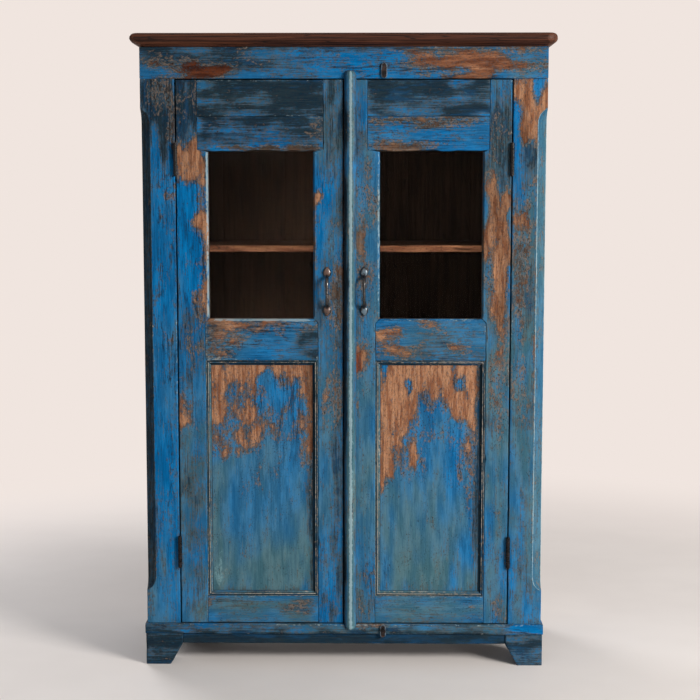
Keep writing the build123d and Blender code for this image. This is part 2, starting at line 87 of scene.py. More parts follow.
RIM_WIDTH = 0.004
SLOPE_STEPS = (0, 0.05, 0.12, 0.5, 0.88, 0.95, 1)
CORNERS = ((0, 0), (1, 0), (1, 1), (0, 1))


def section(width, depth, depth_marks=(), flat_corner=None):
    """A board's cross-section, as points in order round it. Each point is a share of the width and depth plus
    a reach times the radius of the corners beside it: a corner is a quarter circle, or a slope where it is
    flat."""
    share, reach, rim = [], [], []
    for index, corner in enumerate(CORNERS):
        turn = np.linspace(0, math.pi / 2, 4)
        rise, fall, rubbed = 1 - np.cos(turn), 1 - np.sin(turn), np.ones(len(turn))
        if index == flat_corner:
            turn = rise = np.array(SLOPE_STEPS)
            fall = 1 - rise
            rubbed = np.maximum(1 - np.minimum(rise, fall) / SLOPE_STEPS[2], 0)
        bend = np.zeros((len(turn), 2, 4))
        bend[:, 0, index] = (rise, -fall, -rise, fall)[index]
        bend[:, 1, index] = (fall, rise, -fall, -rise)[index]
        share.append(np.tile(np.array(corner, float), (len(turn), 1)))
        reach.append(bend)
        rim.append(rubbed)
        axis, following = index % 2, (index + 1) % 4
        length = depth if axis else width
        way = stations(length, depth_marks if axis else ())
        starts, stops = (index, following) if index < 2 else (following, index)
        way = way if index < 2 else way[::-1]
        straight = np.tile(np.array(corner, float), (len(way), 1))
        straight[:, axis] = way
        bend = np.zeros((len(way), 2, 4))
        bend[:, axis, starts] = 1 - way
        bend[:, axis, stops] = -way
        share.append(straight)
        reach.append(bend)
        rim.append(np.exp(-np.minimum(way, 1 - way) * length / RIM_WIDTH))
    return np.concatenate(share), np.concatenate(reach), np.concatenate(rim)


GRAIN_SHIFT = 9


def tube(points, inside_out, lie=None, draw=None, **values):
    """The surface of a tube: each row of points is a closed loop, quads join it to the next row, and one face
    closes each end. Values are kept at every point. Where the lie of the grain is given, as three axes, the
    place in the wood is kept too, shifted at random so that no two pieces look alike."""
    shape = points.shape[:2]
    index = np.arange(shape[0] * shape[1]).reshape(shape)
    following = np.roll(index, -1, axis=1)
    quads = np.stack([index[:-1], following[:-1], following[1:], index[1:]], axis=-1)
    polygons = quads.reshape(-1, 4).tolist() + [index[0][::-1].tolist(), index[-1].tolist()]
    if inside_out:
        polygons = [polygon[::-1] for polygon in polygons]
    grid = {"points": points.reshape(-1, 3), "faces": polygons}
    if lie:
        grid["grain"] = grid["points"][:, lie] + draw.uniform(-GRAIN_SHIFT, GRAIN_SHIFT, 3)
    for key, value in values.items():
        grid[key] = np.broadcast_to(value, shape).ravel()
    return grid


ARRIS_WAVE, SIDE_WAVE, FACE_WAVE = 0.11, 0.13, 0.16
NICKS_PER_METRE = 5
NICK_SHARE = (0.2, 1.1)
NICK_WIDTH = (0.003, 0.011)


def board(low, high, along, across, seed, arris=0.002, wave=0.0005, end_round=0.0015, grain=None, inner=None,
          ends=None, sides=None, faces=None, levels=None, row_marks=(), depth_marks=(), flat_corner=None,
          corner_size=None, corner_rim=(1.0, 0.0)):
    """A worn board: one rounded cross-section carried along an axis, row by row. The two faces, the two sides
    and the two ends may each be given as a function of where they are. Arrises vary in radius and are nicked
    here and there, and the flat faces dip inwards by a gentle ripple."""
    draw = np.random.default_rng(seed)
    deep = 3 - along - across
    size = high - low
    share, reach, rim = section(size[across], size[deep], depth_marks, flat_corner)
    if levels is None:
        turn = np.linspace(0, math.pi / 2, 4)[:-1]
        lead, pinch = end_round * (1 - np.cos(turn)), end_round * (1 - np.sin(turn))
        way = stations(size[along], row_marks)
        still = np.zeros(len(turn))
        row_share = np.concatenate([still, way, still + 1])
        row_shift = np.concatenate([lead, end_round * (1 - 2 * way), -lead[::-1]])
        inset = np.concatenate([pinch, 0 * way, pinch[::-1]])[:, None]
    else:
        row_share = (np.array(levels) - low[along]) / size[along]
        row_shift = np.zeros(len(row_share))
        inset = np.zeros((len(row_share), 1))
    place = low[along] + row_share * size[along] + row_shift
    row = place[:, None]

    spot = np.stack([place, place, place], axis=-1)
    unevenness = [0.5 + ripple(spot, ARRIS_WAVE, seed + 10 + corner) for corner in range(4)]
    radius = np.stack(unevenness, axis=-1) * arris
    count = int(size[along] * NICKS_PER_METRE) + 1
    for corner in range(4):
        nick = draw.uniform(*NICK_SHARE, count) * arris
        nick_at = draw.uniform(low[along], high[along], count)
        nick_width = draw.uniform(*NICK_WIDTH, count)
        radius[:, corner] += (nick * np.exp(-(((row - nick_at) / nick_width) ** 2))).sum(axis=1)
    if corner_size is not None:
        radius[:, flat_corner] = np.maximum(corner_size(place), radius[:, flat_corner])

    face_low, face_high = faces(row) if faces else (low[deep], high[deep])
    face_low, face_high = face_low + inset, face_high - inset
    depth = face_low + share[:, 1] * (face_high - face_low) + radius @ reach[:, 1].T
    side_low, side_high = sides(row, depth) if sides else (low[across], high[across])
    side_low, side_high = side_low + inset, side_high - inset
    width = side_low + share[:, 0] * (side_high - side_low) + radius @ reach[:, 0].T
    end_low, end_high = ends(width) if ends else (low[along], high[along])
    length = end_low + row_share[:, None] * (end_high - end_low) + row_shift[:, None]
    length = np.broadcast_to(length, width.shape)

    points = np.zeros(width.shape + (3,))
    points[..., along], points[..., across], points[..., deep] = length, width, depth
    points[..., across] += wave * ripple(points, SIDE_WAVE, seed + 20) * (1 - 2 * share[:, 0])
    points[..., deep] += wave * ripple(points, FACE_WAVE, seed + 21) * (1 - 2 * share[:, 1])

    to_end = np.minimum(row_share, 1 - row_share) * size[along]
    rim = np.maximum(rim[None, :], np.exp(-to_end / RIM_WIDTH)[:, None])
    slope = np.zeros(width.shape, bool)
    if corner_size is not None:
        slope = (share == CORNERS[flat_corner]).all(axis=1)[None, :] & (corner_size(place) > 0)[:, None]
        rim = np.where(slope, corner_rim[1] + (corner_rim[0] - corner_rim[1]) * rim, rim)
    grain = along if grain is None else grain
    lie = [grain] + [axis for axis in (along, across, deep) if axis != grain]
    inside_out = (across - along) % 3 == 2
    return tube(points, inside_out, lie, draw, rim=rim, inner=share[:, 1] == inner, slope=slope)


CHANNELS = ("bare", "dark", "fade", "aged")
SOUND_PAINT = (-0.10, 0.0, 0.26, 0.35)
INSIDE_WOOD = (1.0, 0.0, 0.0, 0.95)
DRIFT_WAVE = 0.3
STRAY_WAVE, STRAY_REACH = 0.045, 2.0
STRAY_PACE = np.array([0.35, 1.0, 1.0])
STROKE_EDGE = 0.9


def wear_and_shading(grid, strokes=None, base=SOUND_PAINT, seed=1, drift=0.12, slope=None):
    """How worn and dirty each point of a painted board is, with painted shade and highlight among its
    strokes: the base, a slow drift over the board, and soft-edged strokes. A channel's strokes are each a box
    on the front in millimetres (x low, z low, x high, z high) and an amount. A chamfer may have its own paint
    state, and faces on the inside of the cupboard are bare."""
    points = grid["points"]
    amount = np.tile(np.array(base, float), (len(points), 1))
    for channel in range(3):
        amount[:, channel] += drift * channel * (ripple(points, DRIFT_WAVE, seed * 7 + channel) - 0.5)
    x, z = points[:, X] * 1000, points[:, Z] * 1000
    lie = grid["grain"] * STRAY_PACE
    stray = [STRAY_REACH * (ripple(lie, STRAY_WAVE, seed * 7 + 3 + way) - 0.5) for way in range(2)]
    for channel, boxes in (strokes or {}).items():
        for x_low, z_low, x_high, z_high, strength in boxes:
            beside = (2 * x - x_low - x_high) / (x_high - x_low) + stray[0]
            above = (2 * z - z_low - z_high) / (z_high - z_low) + stray[1]
            soft = np.exp(-((beside**2 + above**2) ** 1.5) * STROKE_EDGE)
            amount[:, CHANNELS.index(channel)] += strength * soft
    if slope is not None:
        amount[grid["slope"]] = slope
    amount[grid["inner"]] = INSIDE_WOOD
    grid["finish"] = np.clip(amount, -0.5, 1)
    return grid


SHARP_ANGLE = math.radians(38)


def piece(name, grids, material, body, nodes):
    """One object of one or more grids, riding on a body in place of CAD nodes."""
    points = np.concatenate([grid["points"] for grid in grids])
    polygons, start = [], 0
    for grid in grids:
        polygons += [[start + corner for corner in polygon] for polygon in grid["faces"]]
        start += len(grid["points"])
    mesh = bpy.data.meshes.new(name)
    mesh.from_pydata(points.tolist(), [], polygons)
    for key, kind, field in (("grain", "FLOAT_VECTOR", "vector"), ("rim", "FLOAT", "value"),
                             ("finish", "FLOAT_COLOR", "color")):
        if key in grids[0]:
            values = np.concatenate([grid[key] for grid in grids]).astype(np.float32)
            mesh.attributes.new(key, kind, "POINT").data.foreach_set(field, values.ravel())
    mesh.polygons.foreach_set("use_smooth", np.ones(len(mesh.polygons), bool))
    mesh.set_sharp_from_angle(angle=SHARP_ANGLE)
    mesh.materials.append(material)
    made = bpy.data.objects.new(name, mesh)
    bpy.context.scene.collection.objects.link(made)
    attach(made, body)
    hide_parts(*nodes)


def tone(red, green, blue):
    """A colour given in display values from 0 to 255, as the linear colour that a shader takes."""
    value = np.array([red, green, blue]) / 255
    linear = np.where(value <= 0.04045, value / 12.92, ((value + 0.055) / 1.055) ** 2.4)
    return (*linear.tolist(), 1.0)


class Finish:
    """A material while it is mixed: each method adds a node or two and gives back their output."""

    def __init__(self, name):
        self.material = bpy.data.materials.new(name)
        self.material.use_nodes = True
        self.tree = self.material.node_tree
        self.surface = self.tree.nodes["Principled BSDF"]

    def feed(self, socket, value):
        """Links an output to a socket, or sets the socket to a plain value."""
        if isinstance(value, bpy.types.NodeSocket):
            self.tree.links.new(value, socket)
        else:
            socket.default_value = value

    def lay(self, values):
        """Feeds the surface's own sockets by name."""
        for key, value in values.items():
            self.feed(self.surface.inputs[key], value)

    def node(self, kind, output, inputs, **settings):
        """Adds one node with its settings and inputs."""
        made = self.tree.nodes.new(kind)
        for key, value in settings.items():
            setattr(made, key, value)
        for key, value in inputs.items():
            self.feed(made.inputs[key], value)
        return made.outputs[output]

    def attribute(self, name, output):
        """A value that the piece's mesh holds at each point."""
        return self.node("ShaderNodeAttribute", output, {}, attribute_name=name)

    def streaks(self, lie, along, across, detail=5.0, roughness=0.6):
        """Noise drawn out along the grain, with marks of about the given length and breadth in metres."""
        pace = (1 / along, 1 / across, 1 / across)
        scaled = self.node("ShaderNodeVectorMath", "Vector", {0: lie, 1: pace}, operation="MULTIPLY")
        inputs = {"Vector": scaled, "Scale": 1.0, "Detail": detail, "Roughness": roughness}
        return self.node("ShaderNodeTexNoise", "Fac", inputs)

    def total(self, start, *terms):
        """A sum of a starting number and (value, weight) terms."""
        for value, weight in terms:
            start = self.node("ShaderNodeMath", 0, {0: value, 1: weight, 2: start}, operation="MULTIPLY_ADD")
        return start

    def step(self, value, low, high, bottom=0.0, top=1.0):
        """A smooth rise from bottom to top while the value goes from low to high."""
        inputs = {"Value": value, "From Min": low, "From Max": high, "To Min": bottom, "To Max": top}
        return self.node("ShaderNodeMapRange", "Result", inputs, interpolation_type="SMOOTHSTEP")

    def product(self, one, other):
        """One value times another."""
        return self.node("ShaderNodeMath", 0, {0: one, 1: other}, operation="MULTIPLY")

    def over(self, share, under, upper):
        """One colour laid over another by a share."""
        return self.node("ShaderNodeMix", 2, {0: share, 6: under, 7: upper}, data_type="RGBA")

    def shade(self, colour, value):
        """A colour made lighter or darker by a value."""
        return self.node("ShaderNodeVectorMath", "Vector", {0: colour, "Scale": value}, operation="SCALE")

    def cracks(self, lie, along, across, half):
        """1 along thin wandering lines that follow the grain, 0 elsewhere."""
        drift = self.streaks(lie, along, across, detail=2.0, roughness=0.4)
        off = self.node("ShaderNodeMath", 0, {0: drift, 1: 0.5}, operation="SUBTRACT")
        off = self.node("ShaderNodeMath", 0, {0: off}, operation="ABSOLUTE")
        return self.step(off, half * 0.3, half, 1.0, 0.0)

    def relief(self, height, distance, strength=0.6):
        """Bump from a height in shares of a distance in metres."""
        inputs = {"Height": height, "Distance": distance, "Strength": strength}
        self.feed(self.surface.inputs["Normal"], self.node("ShaderNodeBump", "Normal", inputs))


def old_wood(mix, lie, aged):
    """Colour of bare wood: blotches of tan with faint streaks and dark grit along the grain, stained
    red-brown where it is least aged and grey-brown where it is most."""
    fibre = mix.streaks(lie, 0.14, 0.003, detail=4.0)
    blotch = mix.streaks(lie, 0.075, 0.011, detail=5.0)
    grit = mix.streaks(lie, 0.008, 0.0036, detail=3.0)
    fresh = mix.over(mix.step(blotch, 0.40, 0.60), tone(134, 87, 61), tone(176, 129, 97))
    red = mix.over(mix.step(blotch, 0.40, 0.60), tone(96, 50, 36), tone(148, 80, 50))
    band = mix.streaks(lie, 0.30, 0.010, detail=4.0)
    grey = mix.over(mix.step(band, 0.38, 0.62), tone(66, 56, 48), tone(106, 91, 79))
    wood = mix.over(mix.step(aged, 0.0, 0.3), red, fresh)
    wood = mix.over(mix.step(aged, 0.3, 1.0), wood, grey)
    wood = mix.over(mix.step(grit, 0.52, 0.66, 0.0, 0.48), wood, tone(66, 46, 38))
    return mix.shade(wood, mix.step(fibre, 0.36, 0.64, 0.82, 1.12)), fibre


def blue_paint():
    """Azure paint that has dulled to teal in places, over a dark undercoat, worn through to the wood in
    ragged flakes that follow the grain, cracked, pitted, rubbed pale on the arrises and grey-brown where it
    lifts. The dark channel lays stain, grime and the dark undercoat on it: dirt, and painted shade where its
    strokes stand for shade. The pale on the rim is rubbed paint, and a painted highlight on edges that face
    the lamp."""
    mix = Finish("weathered_blue_paint_and_shading")
    lie = mix.attribute("grain", "Vector")
    parts = mix.tree.nodes.new("ShaderNodeSeparateColor")
    mix.feed(parts.inputs[0], mix.attribute("finish", "Color"))
    bare, dark, fade = parts.outputs[0], parts.outputs[1], parts.outputs[2]
    aged = mix.attribute("finish", "Alpha")
    rim = mix.attribute("rim", "Fac")

    patches = mix.streaks(lie, 0.044, 0.031, detail=7.0, roughness=0.64)
    flakes = mix.streaks(lie, 0.0095, 0.0060, detail=3.0)
    specks = mix.streaks(lie, 0.0052, 0.0034, detail=2.0)
    hairs = mix.streaks(lie, 0.085, 0.0030, detail=5.0, roughness=0.65)
    clouds = mix.streaks(lie, 0.40, 0.16, detail=3.0)
    smears = mix.streaks(lie, 0.13, 0.028, detail=6.0, roughness=0.65)

    lost = mix.total(-2.62, (bare, 1.7), (patches, 2.5), (flakes, 1.3), (hairs, 0.5), (specks, 0.5),
                     (rim, 0.05))
    gone = mix.step(lost, 0.42, 0.66)
    lifting = mix.step(lost, 0.02, 0.44, 0.0, 0.85)
    # Stain and grime follow the dark channel, which holds dirt and painted shade.
    soil_and_shade = mix.total(-3.20, (dark, 1.3), (smears, 1.6), (hairs, 2.4), (flakes, 1.0), (patches, 1.4))
    stain_and_shade = mix.step(soil_and_shade, 0.05, 0.46, 0.0, 0.72)
    grime_and_shade = mix.step(soil_and_shade, 0.40, 0.95, 0.0, 0.90)
    dull = mix.step(mix.total(-0.70, (fade, 1.0), (clouds, 0.9), (hairs, 0.4)), -0.08, 0.80)

    azure = mix.over(mix.step(smears, 0.40, 0.60), tone(1, 92, 148), tone(4, 116, 179))
    teal = mix.over(mix.step(smears, 0.40, 0.60), tone(58, 95, 107), tone(80, 112, 121))
    paint = mix.over(dull, azure, teal)
    chalky = mix.step(mix.total(-1.00, (fade, 1.0), (smears, 1.0), (flakes, 1.0)), 0.95, 1.25)
    paint = mix.over(chalky, paint, tone(112, 150, 158))
    paint = mix.shade(paint, mix.step(hairs, 0.36, 0.64, 0.84, 1.08))
    soiled_and_shaded = mix.over(mix.step(flakes, 0.40, 0.60), tone(48, 68, 76), tone(84, 82, 74))
    under = mix.over(mix.step(hairs, 0.42, 0.62), tone(6, 28, 42), tone(28, 43, 50))
    under = mix.over(mix.step(smears, 0.50, 0.64, 0.0, 0.8), under, tone(14, 58, 90))
    coat = mix.over(grime_and_shade, mix.over(stain_and_shade, paint, soiled_and_shaded), under)
    blistered = mix.over(mix.step(flakes, 0.42, 0.60), tone(66, 80, 87), tone(116, 101, 90))
    coat = mix.over(lifting, coat, blistered)

    wood = old_wood(mix, lie, aged)[0]
    primer = mix.product(mix.step(flakes, 0.50, 0.62, 0.0, 0.8), mix.step(lost, 0.6, 1.3, 1.0, 0.3))
    wood = mix.over(primer, wood, tone(80, 92, 98))
    wood = mix.shade(wood, mix.step(lost, 0.40, 0.86, 0.34, 1.0))
    # Bare wood is darkened by the dark channel too, dirt together with painted shade.
    wood = mix.shade(wood, mix.step(dark, -0.2, 0.9, 1.0, 0.32))
    skin = mix.over(gone, coat, wood)
    brittle = mix.product(mix.step(lost, -1.0, 0.3), mix.step(fade, 0.15, 0.45, 1.0, 0.15))
    brittle = mix.product(brittle, mix.step(gone, 0.3, 0.9, 1.0, 0.2))
    lines = mix.product(mix.cracks(lie, 0.15, 0.011, 0.040), brittle)
    skin = mix.over(mix.product(lines, 0.75), skin, tone(20, 22, 28))
    pits = mix.product(mix.step(specks, 0.56, 0.68, 0.0, 0.8), mix.step(lost, -0.6, 0.3, 0.1, 1.0))
    pits = mix.product(pits, mix.step(gone, 0.3, 0.9, 1.0, 0.5))
    skin = mix.over(pits, skin, tone(30, 28, 30))
    # Pale on the rim: rubbed paint, and a painted highlight on the lit edges.
    rubbed = mix.step(mix.total(-1.90, (rim, 0.4), (flakes, 2.0), (clouds, 1.5)), 0.45, 0.85, 0.0, 0.65)
    pale = mix.over(mix.step(aged, 0.5, 0.75), tone(146, 170, 178), tone(172, 164, 152))
    skin = mix.over(rubbed, skin, pale)

    dry = mix.step(mix.total(0.0, (gone, 0.7), (grime_and_shade, 0.3)), 0.0, 1.0, 0.50, 0.8)
    mix.lay({"Base Color": skin, "Roughness": dry, "Specular IOR Level": 0.04})
    mix.relief(mix.total(0.5, (gone, -0.5), (lines, -0.5), (hairs, 0.5), (flakes, 0.5)), 0.0014)
    return mix.material


weathered_paint_and_shading = blue_paint()
FOOT_TAPER = 0.033
FOOT_KNEE = 0.058
FOOT_RUB = 0.3
FOOT_PAINT = (-0.1, 0.62, 0.35, 0.9)
FOOT_WEAR_AND_SHADOW = {
    # The first dark stroke is a painted shadow of the base rail, a dark band along the tops of the feet.
    "dark": ((-900, 50, 900, 70, 0.6), (380, -20, 640, 100, -0.24)),
}


def painted(node, grids, body="carcase"):
    """A painted piece that takes the place of its CAD node."""
    piece(f"painted_{node}", grids, weathered_paint_and_shading, body, [node])


def foot(label, side, place, inwards, seed):
    """A block carried upwards: below the knee its two inner sides draw in evenly towards the floor."""
    node = f"{label}_{place}_foot"
    low, high = corners(node)

    def drawn_in(height, start, end, inner_is_high):
        pull = FOOT_TAPER * np.clip(1 - height / FOOT_KNEE, 0, 1)
        return (start, end - pull) if inner_is_high else (start + pull, end)

    grid = board(low, high, Z, X, seed, arris=0.003, grain=X, row_marks=(FOOT_KNEE,),
                 sides=lambda height, depth: drawn_in(height, low[X], high[X], side < 0),
                 faces=lambda height: drawn_in(height, low[Y], high[Y], inwards > 0))
    grid["rim"] = FOOT_RUB * grid["rim"]
    wear_and_shading(grid, FOOT_WEAR_AND_SHADOW, FOOT_PAINT, seed)
    painted(node, [grid])


SIDES = (("left", -1), ("right", 1))
for label, side in SIDES:
    foot(label, side, "front", 1, 100 + side)
    foot(label, side, "rear", -1, 110 + side)

# Base: a flat rail on edge along the front, the sides and the back, standing proud of the frame above it, and
# a thin plinth strip between the front feet. Long planed boards, nailed together and painted. A painted
# shadow line runs along the front rail's lower edge, and the plinth is painted dark, dirt together with
# painted shade under the rail.
BASE_BEVEL = 0.003
BASE_RUB = (1.6, 1.4)
# The plinth's dark paint is dirt together with painted shade under the base rail that stands out over it.
PLINTH_DIRT_AND_SHADE = (-0.2, 0.95, 0.3, 0.9)
PLINTH_RUB = 0.2
BASE_WEAR_AND_SHADOW = {
    "fade": ((-560, 65, 560, 130, 0.3), (460, 70, 550, 115, -0.6)),
    "dark": (
        # The stroke from 78 to 94 mm is a painted shadow line along the rail's lower edge.
        (-600, 55, 600, 145, 0.4), (-600, 78, 600, 94, 0.45), (460, 70, 550, 115, -0.3),
        (-600, 60, -400, 140, 0.35),
    ),
    "bare": ((20, 100, 115, 125, 0.5),),
}


def painted_rail(node, along, across, seed, strokes=None, base=SOUND_PAINT, rub=1.0, **shape):
    """A painted board that fills its CAD node's box, with its arrises rubbed by a share."""
    low, high = corners(node)
    grid = wear_and_shading(board(low, high, along, across, seed, **shape), strokes, base, seed)
    grid["rim"] = rub * grid["rim"]
    painted(node, [grid])


painted_rail("front_base_rail", X, Z, 120, BASE_WEAR_AND_SHADOW, flat_corner=1, corner_rim=BASE_RUB,
             corner_size=lambda place: BASE_BEVEL + 0 * place)
painted_rail("back_base_rail", X, Z, 121, base=FOOT_PAINT)
painted_rail("plinth_rail", X, Z, 122, base=PLINTH_DIRT_AND_SHADE, rub=PLINTH_RUB)
for label, side in SIDES:
    painted_rail(f"{label}_base_rail", Y, Z, 123 + side, base=FOOT_PAINT, arris=0.003)

# Front posts: thick uprights with a stopped chamfer down the outer corner, tenoned into the base rail and the
# frieze. The right one catches the sun and is worn to the wood at the top.
CHAMFER_LEG = 0.025
CHAMFER_LOW, CHAMFER_HIGH = 0.2095, 1.502
CHAMFER_RUN_OUT = 0.036
POST_TENON = 0.024
# The chamfers hold painted light: the left one faces away from the lamp and is painted dark as painted shade,
# and the right one's arrises are painted pale, rubbed paint together with a painted highlight.
CHAMFER_RUB_AND_HIGHLIGHT = {"left": (0.9, -0.6), "right": (3.4, 0.2)}
CHAMFER_PAINT_AND_SHADE = {"left": (0.02, 0.55, 0.40, 0.8), "right": (0.04, 0.05, 0.62, 0.5)}
POST_WEAR = {
    "left": {
        "bare": (
            (-520, 1495, -440, 1580, 0.52), (-470, 1370, -435, 1505, 0.52),
            (-475, 1255, -440, 1310, 0.52), (-495, 865, -445, 920, 0.39),
        ),
        "dark": (
            (-560, 1400, -430, 1610, 0.8), (-475, 1370, -435, 1505, 0.5), (-555, 205, -500, 580, 0.2),
        ),
        "fade": ((-560, 300, -430, 1450, -0.2), (-555, 65, -440, 300, 0.25)),
        "aged": ((-540, 1385, -435, 1580, 0.6),),
    },
    "right": {
        "bare": (
            (435, 1440, 555, 1610, 0.95), (518, 1480, 556, 1620, 0.4), (455, 1395, 515, 1470, 0.65),
            (450, 1130, 505, 1310, 0.62), (445, 905, 490, 1150, 0.55), (450, 695, 495, 865, 0.39),
            (495, 1260, 525, 1320, 0.39), (508, 205, 518, 1460, 0.52),
        ),
        "fade": ((480, 1440, 560, 1640, 0.4), (440, 60, 560, 1460, 0.45)),
        "dark": ((430, 640, 550, 1480, 0.32), (450, 1315, 535, 1430, 0.35), (460, 95, 535, 400, 0.12)),
        "aged": ((450, 675, 490, 1150, 0.45),),
    },
}


def chamfer(height):
    """The chamfer's leg at each height: full between its two ends, run out on a quarter circle at both."""
    rise = np.clip(np.minimum(height - CHAMFER_LOW, CHAMFER_HIGH - height) / CHAMFER_RUN_OUT, 0, 1)
    return CHAMFER_LEG * np.sqrt(1 - (1 - rise) ** 2)


for label, side in SIDES:
    node = f"{label}_front_post"
    low, high = corners(node)
    low[Z] += POST_TENON
    high[Z] -= POST_TENON
    turns = (CHAMFER_LOW, CHAMFER_LOW + CHAMFER_RUN_OUT, CHAMFER_HIGH - CHAMFER_RUN_OUT, CHAMFER_HIGH)
    grid = board(low, high, Z, X, 130 + side, inner=1, flat_corner=0 if side < 0 else 1, corner_size=chamfer,
                 corner_rim=CHAMFER_RUB_AND_HIGHLIGHT[label], row_marks=[turn - low[Z] for turn in turns])
    wear_and_shading(grid, POST_WEAR[label], seed=130 + side, slope=CHAMFER_PAINT_AND_SHADE[label])
    painted(node, [grid])

# Sides: on each side a rear post, two rails and a thin upright panel that stands in their grooves. Planed
# softwood, painted outside and left bare inside.
SIDE_PAINT = (0.14, 0.18, 0.38, 0.3)
PANEL_SHOWN = 0.006
for label, side in SIDES:
    inside = 1 if side < 0 else 0
    painted_rail(f"{label}_rear_post", Z, Y, 140 + side, base=SIDE_PAINT, inner=inside)
    painted_rail(f"{label}_side_top_rail", Y, Z, 143 + side, base=SIDE_PAINT, inner=inside)
    painted_rail(f"{label}_side_bottom_rail", Y, Z, 146 + side, base=SIDE_PAINT, inner=inside)
    node = f"{label}_side_panel"
    low, high = corners(node)
    low[[Y, Z]] += PANEL_SHOWN
    high[[Y, Z]] -= PANEL_SHOWN
    grid = wear_and_shading(board(low, high, Z, Y, 149 + side, inner=inside), base=SIDE_PAINT, seed=149 + side, drift=0.2)
    painted(node, [grid])

# Back boards: six wide planks of softwood, rough from the saw and never painted, aged grey-brown. Their
# inside face is painted dark as painted shade, and the rear face is paler. They stand upright, edge to edge,
# and are nailed to the frame from behind.
BACK_BOARDS = 6
BACK_LAP = 0.002
BACK_ARRIS = 0.0034
BACK_EDGE_SHADE = 0.004
BACK_TONES = (0.86, 0.93, 1.0)


def bare_wood(name, aged, roughness, level, edge=1.0):
    """Unpainted wood with open grain: streaks along the grain, darker bands, grit and thin splits."""
    mix = Finish(name)
    lie = mix.attribute("grain", "Vector")
    wood, fibre = old_wood(mix, lie, aged)
    clouds = mix.streaks(lie, 0.35, 0.12, detail=4.0)
    splits = mix.cracks(lie, 0.30, 0.030, 0.006)
    # The level sets how dark the whole board is; for the inside of the cupboard it is low, as painted shade.
    # The edge factor lightens it where the rim is high: the rear faces of the back and the shelves' front
    # edges.
    wood = mix.shade(wood, mix.step(clouds, 0.30, 0.70, 0.62 * level, 1.10 * level))
    wood = mix.shade(wood, mix.step(mix.attribute("rim", "Fac"), 0.5, 1.0, 1.0, edge))
    wood = mix.over(mix.product(splits, 0.8), wood, tone(18, 13, 11))
    dry = mix.step(fibre, 0.3, 0.7, roughness, roughness + 0.12)
    mix.lay({"Base Color": wood, "Roughness": dry, "Specular IOR Level": 0.25})
    mix.relief(mix.total(0.5, (fibre, 0.8), (splits, -0.7)), 0.0008)
    return mix.material


back_wood = bare_wood("rough_sawn_back", 0.80, 0.75, 0.30, 2.6)
low, high = corners("back_boards")
pitch = (high[X] - low[X] - BACK_LAP) / BACK_BOARDS
planks = []
for number in range(BACK_BOARDS):
    start, end = low.copy(), high.copy()
    start[X] = low[X] + number * pitch
    end[X] = start[X] + pitch + BACK_LAP
    plank = board(start, end, Z, X, 160 + number, arris=BACK_ARRIS, wave=0.0008)
    # The inside face keeps the low level as painted shade; the rear face is 2.6 times paler.
    rear = plank["points"][:, Y] > (low[Y] + high[Y]) / 2
    inset = np.minimum(plank["points"][:, X] - start[X], end[X] - plank["points"][:, X])
    rear_paleness_out_of_shade = BACK_TONES[number % len(BACK_TONES)] * (1 - np.exp(-inset / BACK_EDGE_SHADE))
    plank["rim"] = rear * rear_paleness_out_of_shade
    planks.append(plank)
piece("sawn_back_boards", planks, back_wood, "carcase", ["back_boards"])

# Inside: a bottom board that stops the doors with its front edge, and two shelves on bearers. Planed boards,
# unpainted and aged, painted dark as painted shade for the dim inside, and paler along the shelves' front
# edges, which are worn and left out of that painted shade.
# Low levels: painted shade inside the cupboard. The shelves' front edges are 3.4 times paler.
inside_wood = bare_wood("shaded_dark_inside_wood", 0.90, 0.62, 0.33)
shelf_wood = bare_wood("shaded_shelf_wood_with_worn_edges", 0.45, 0.55, 0.30, 3.4)
low, high = corners("bottom_board")
post_low, post_high = corners("right_front_post")


def bottom_front(place, depth):
    """The bottom board's front edge comes forward between the two front posts."""
    return np.where(np.abs(place) < post_low[X], low[Y], post_high[Y]), high[Y]


post_marks = [edge - low[X] for edge in (-post_low[X], post_low[X])]
grid = board(low, high, X, Y, 170, sides=bottom_front, row_marks=post_marks)
piece("bare_bottom_board", [grid], inside_wood, "carcase", ["bottom_board"])
for number, node in enumerate(("upper_shelf", "lower_shelf")):
    low, high = corners(node)
    grid = board(low, high, X, Y, 171 + number, arris=0.003)
    grid["rim"] = np.exp(-(grid["points"][:, Y] - low[Y]) / RIM_WIDTH)
    piece(f"bare_{node}", [grid], shelf_wood, "carcase", [node])
BEARER_WIDTH, BEARER_HEIGHT = 0.022, 0.026
low, high = corners("shelf_bearers")
bearers = []
for side_x in (low[X], high[X] - BEARER_WIDTH):
    for level in (low[Z], high[Z] - BEARER_HEIGHT):
        start = np.array([side_x, low[Y], level])
        end = np.array([side_x + BEARER_WIDTH, high[Y], level + BEARER_HEIGHT])
        bearers.append(board(start, end, Y, Z, 175 + len(bearers)))
piece("bare_shelf_bearers", bearers, inside_wood, "carcase", ["shelf_bearers"])

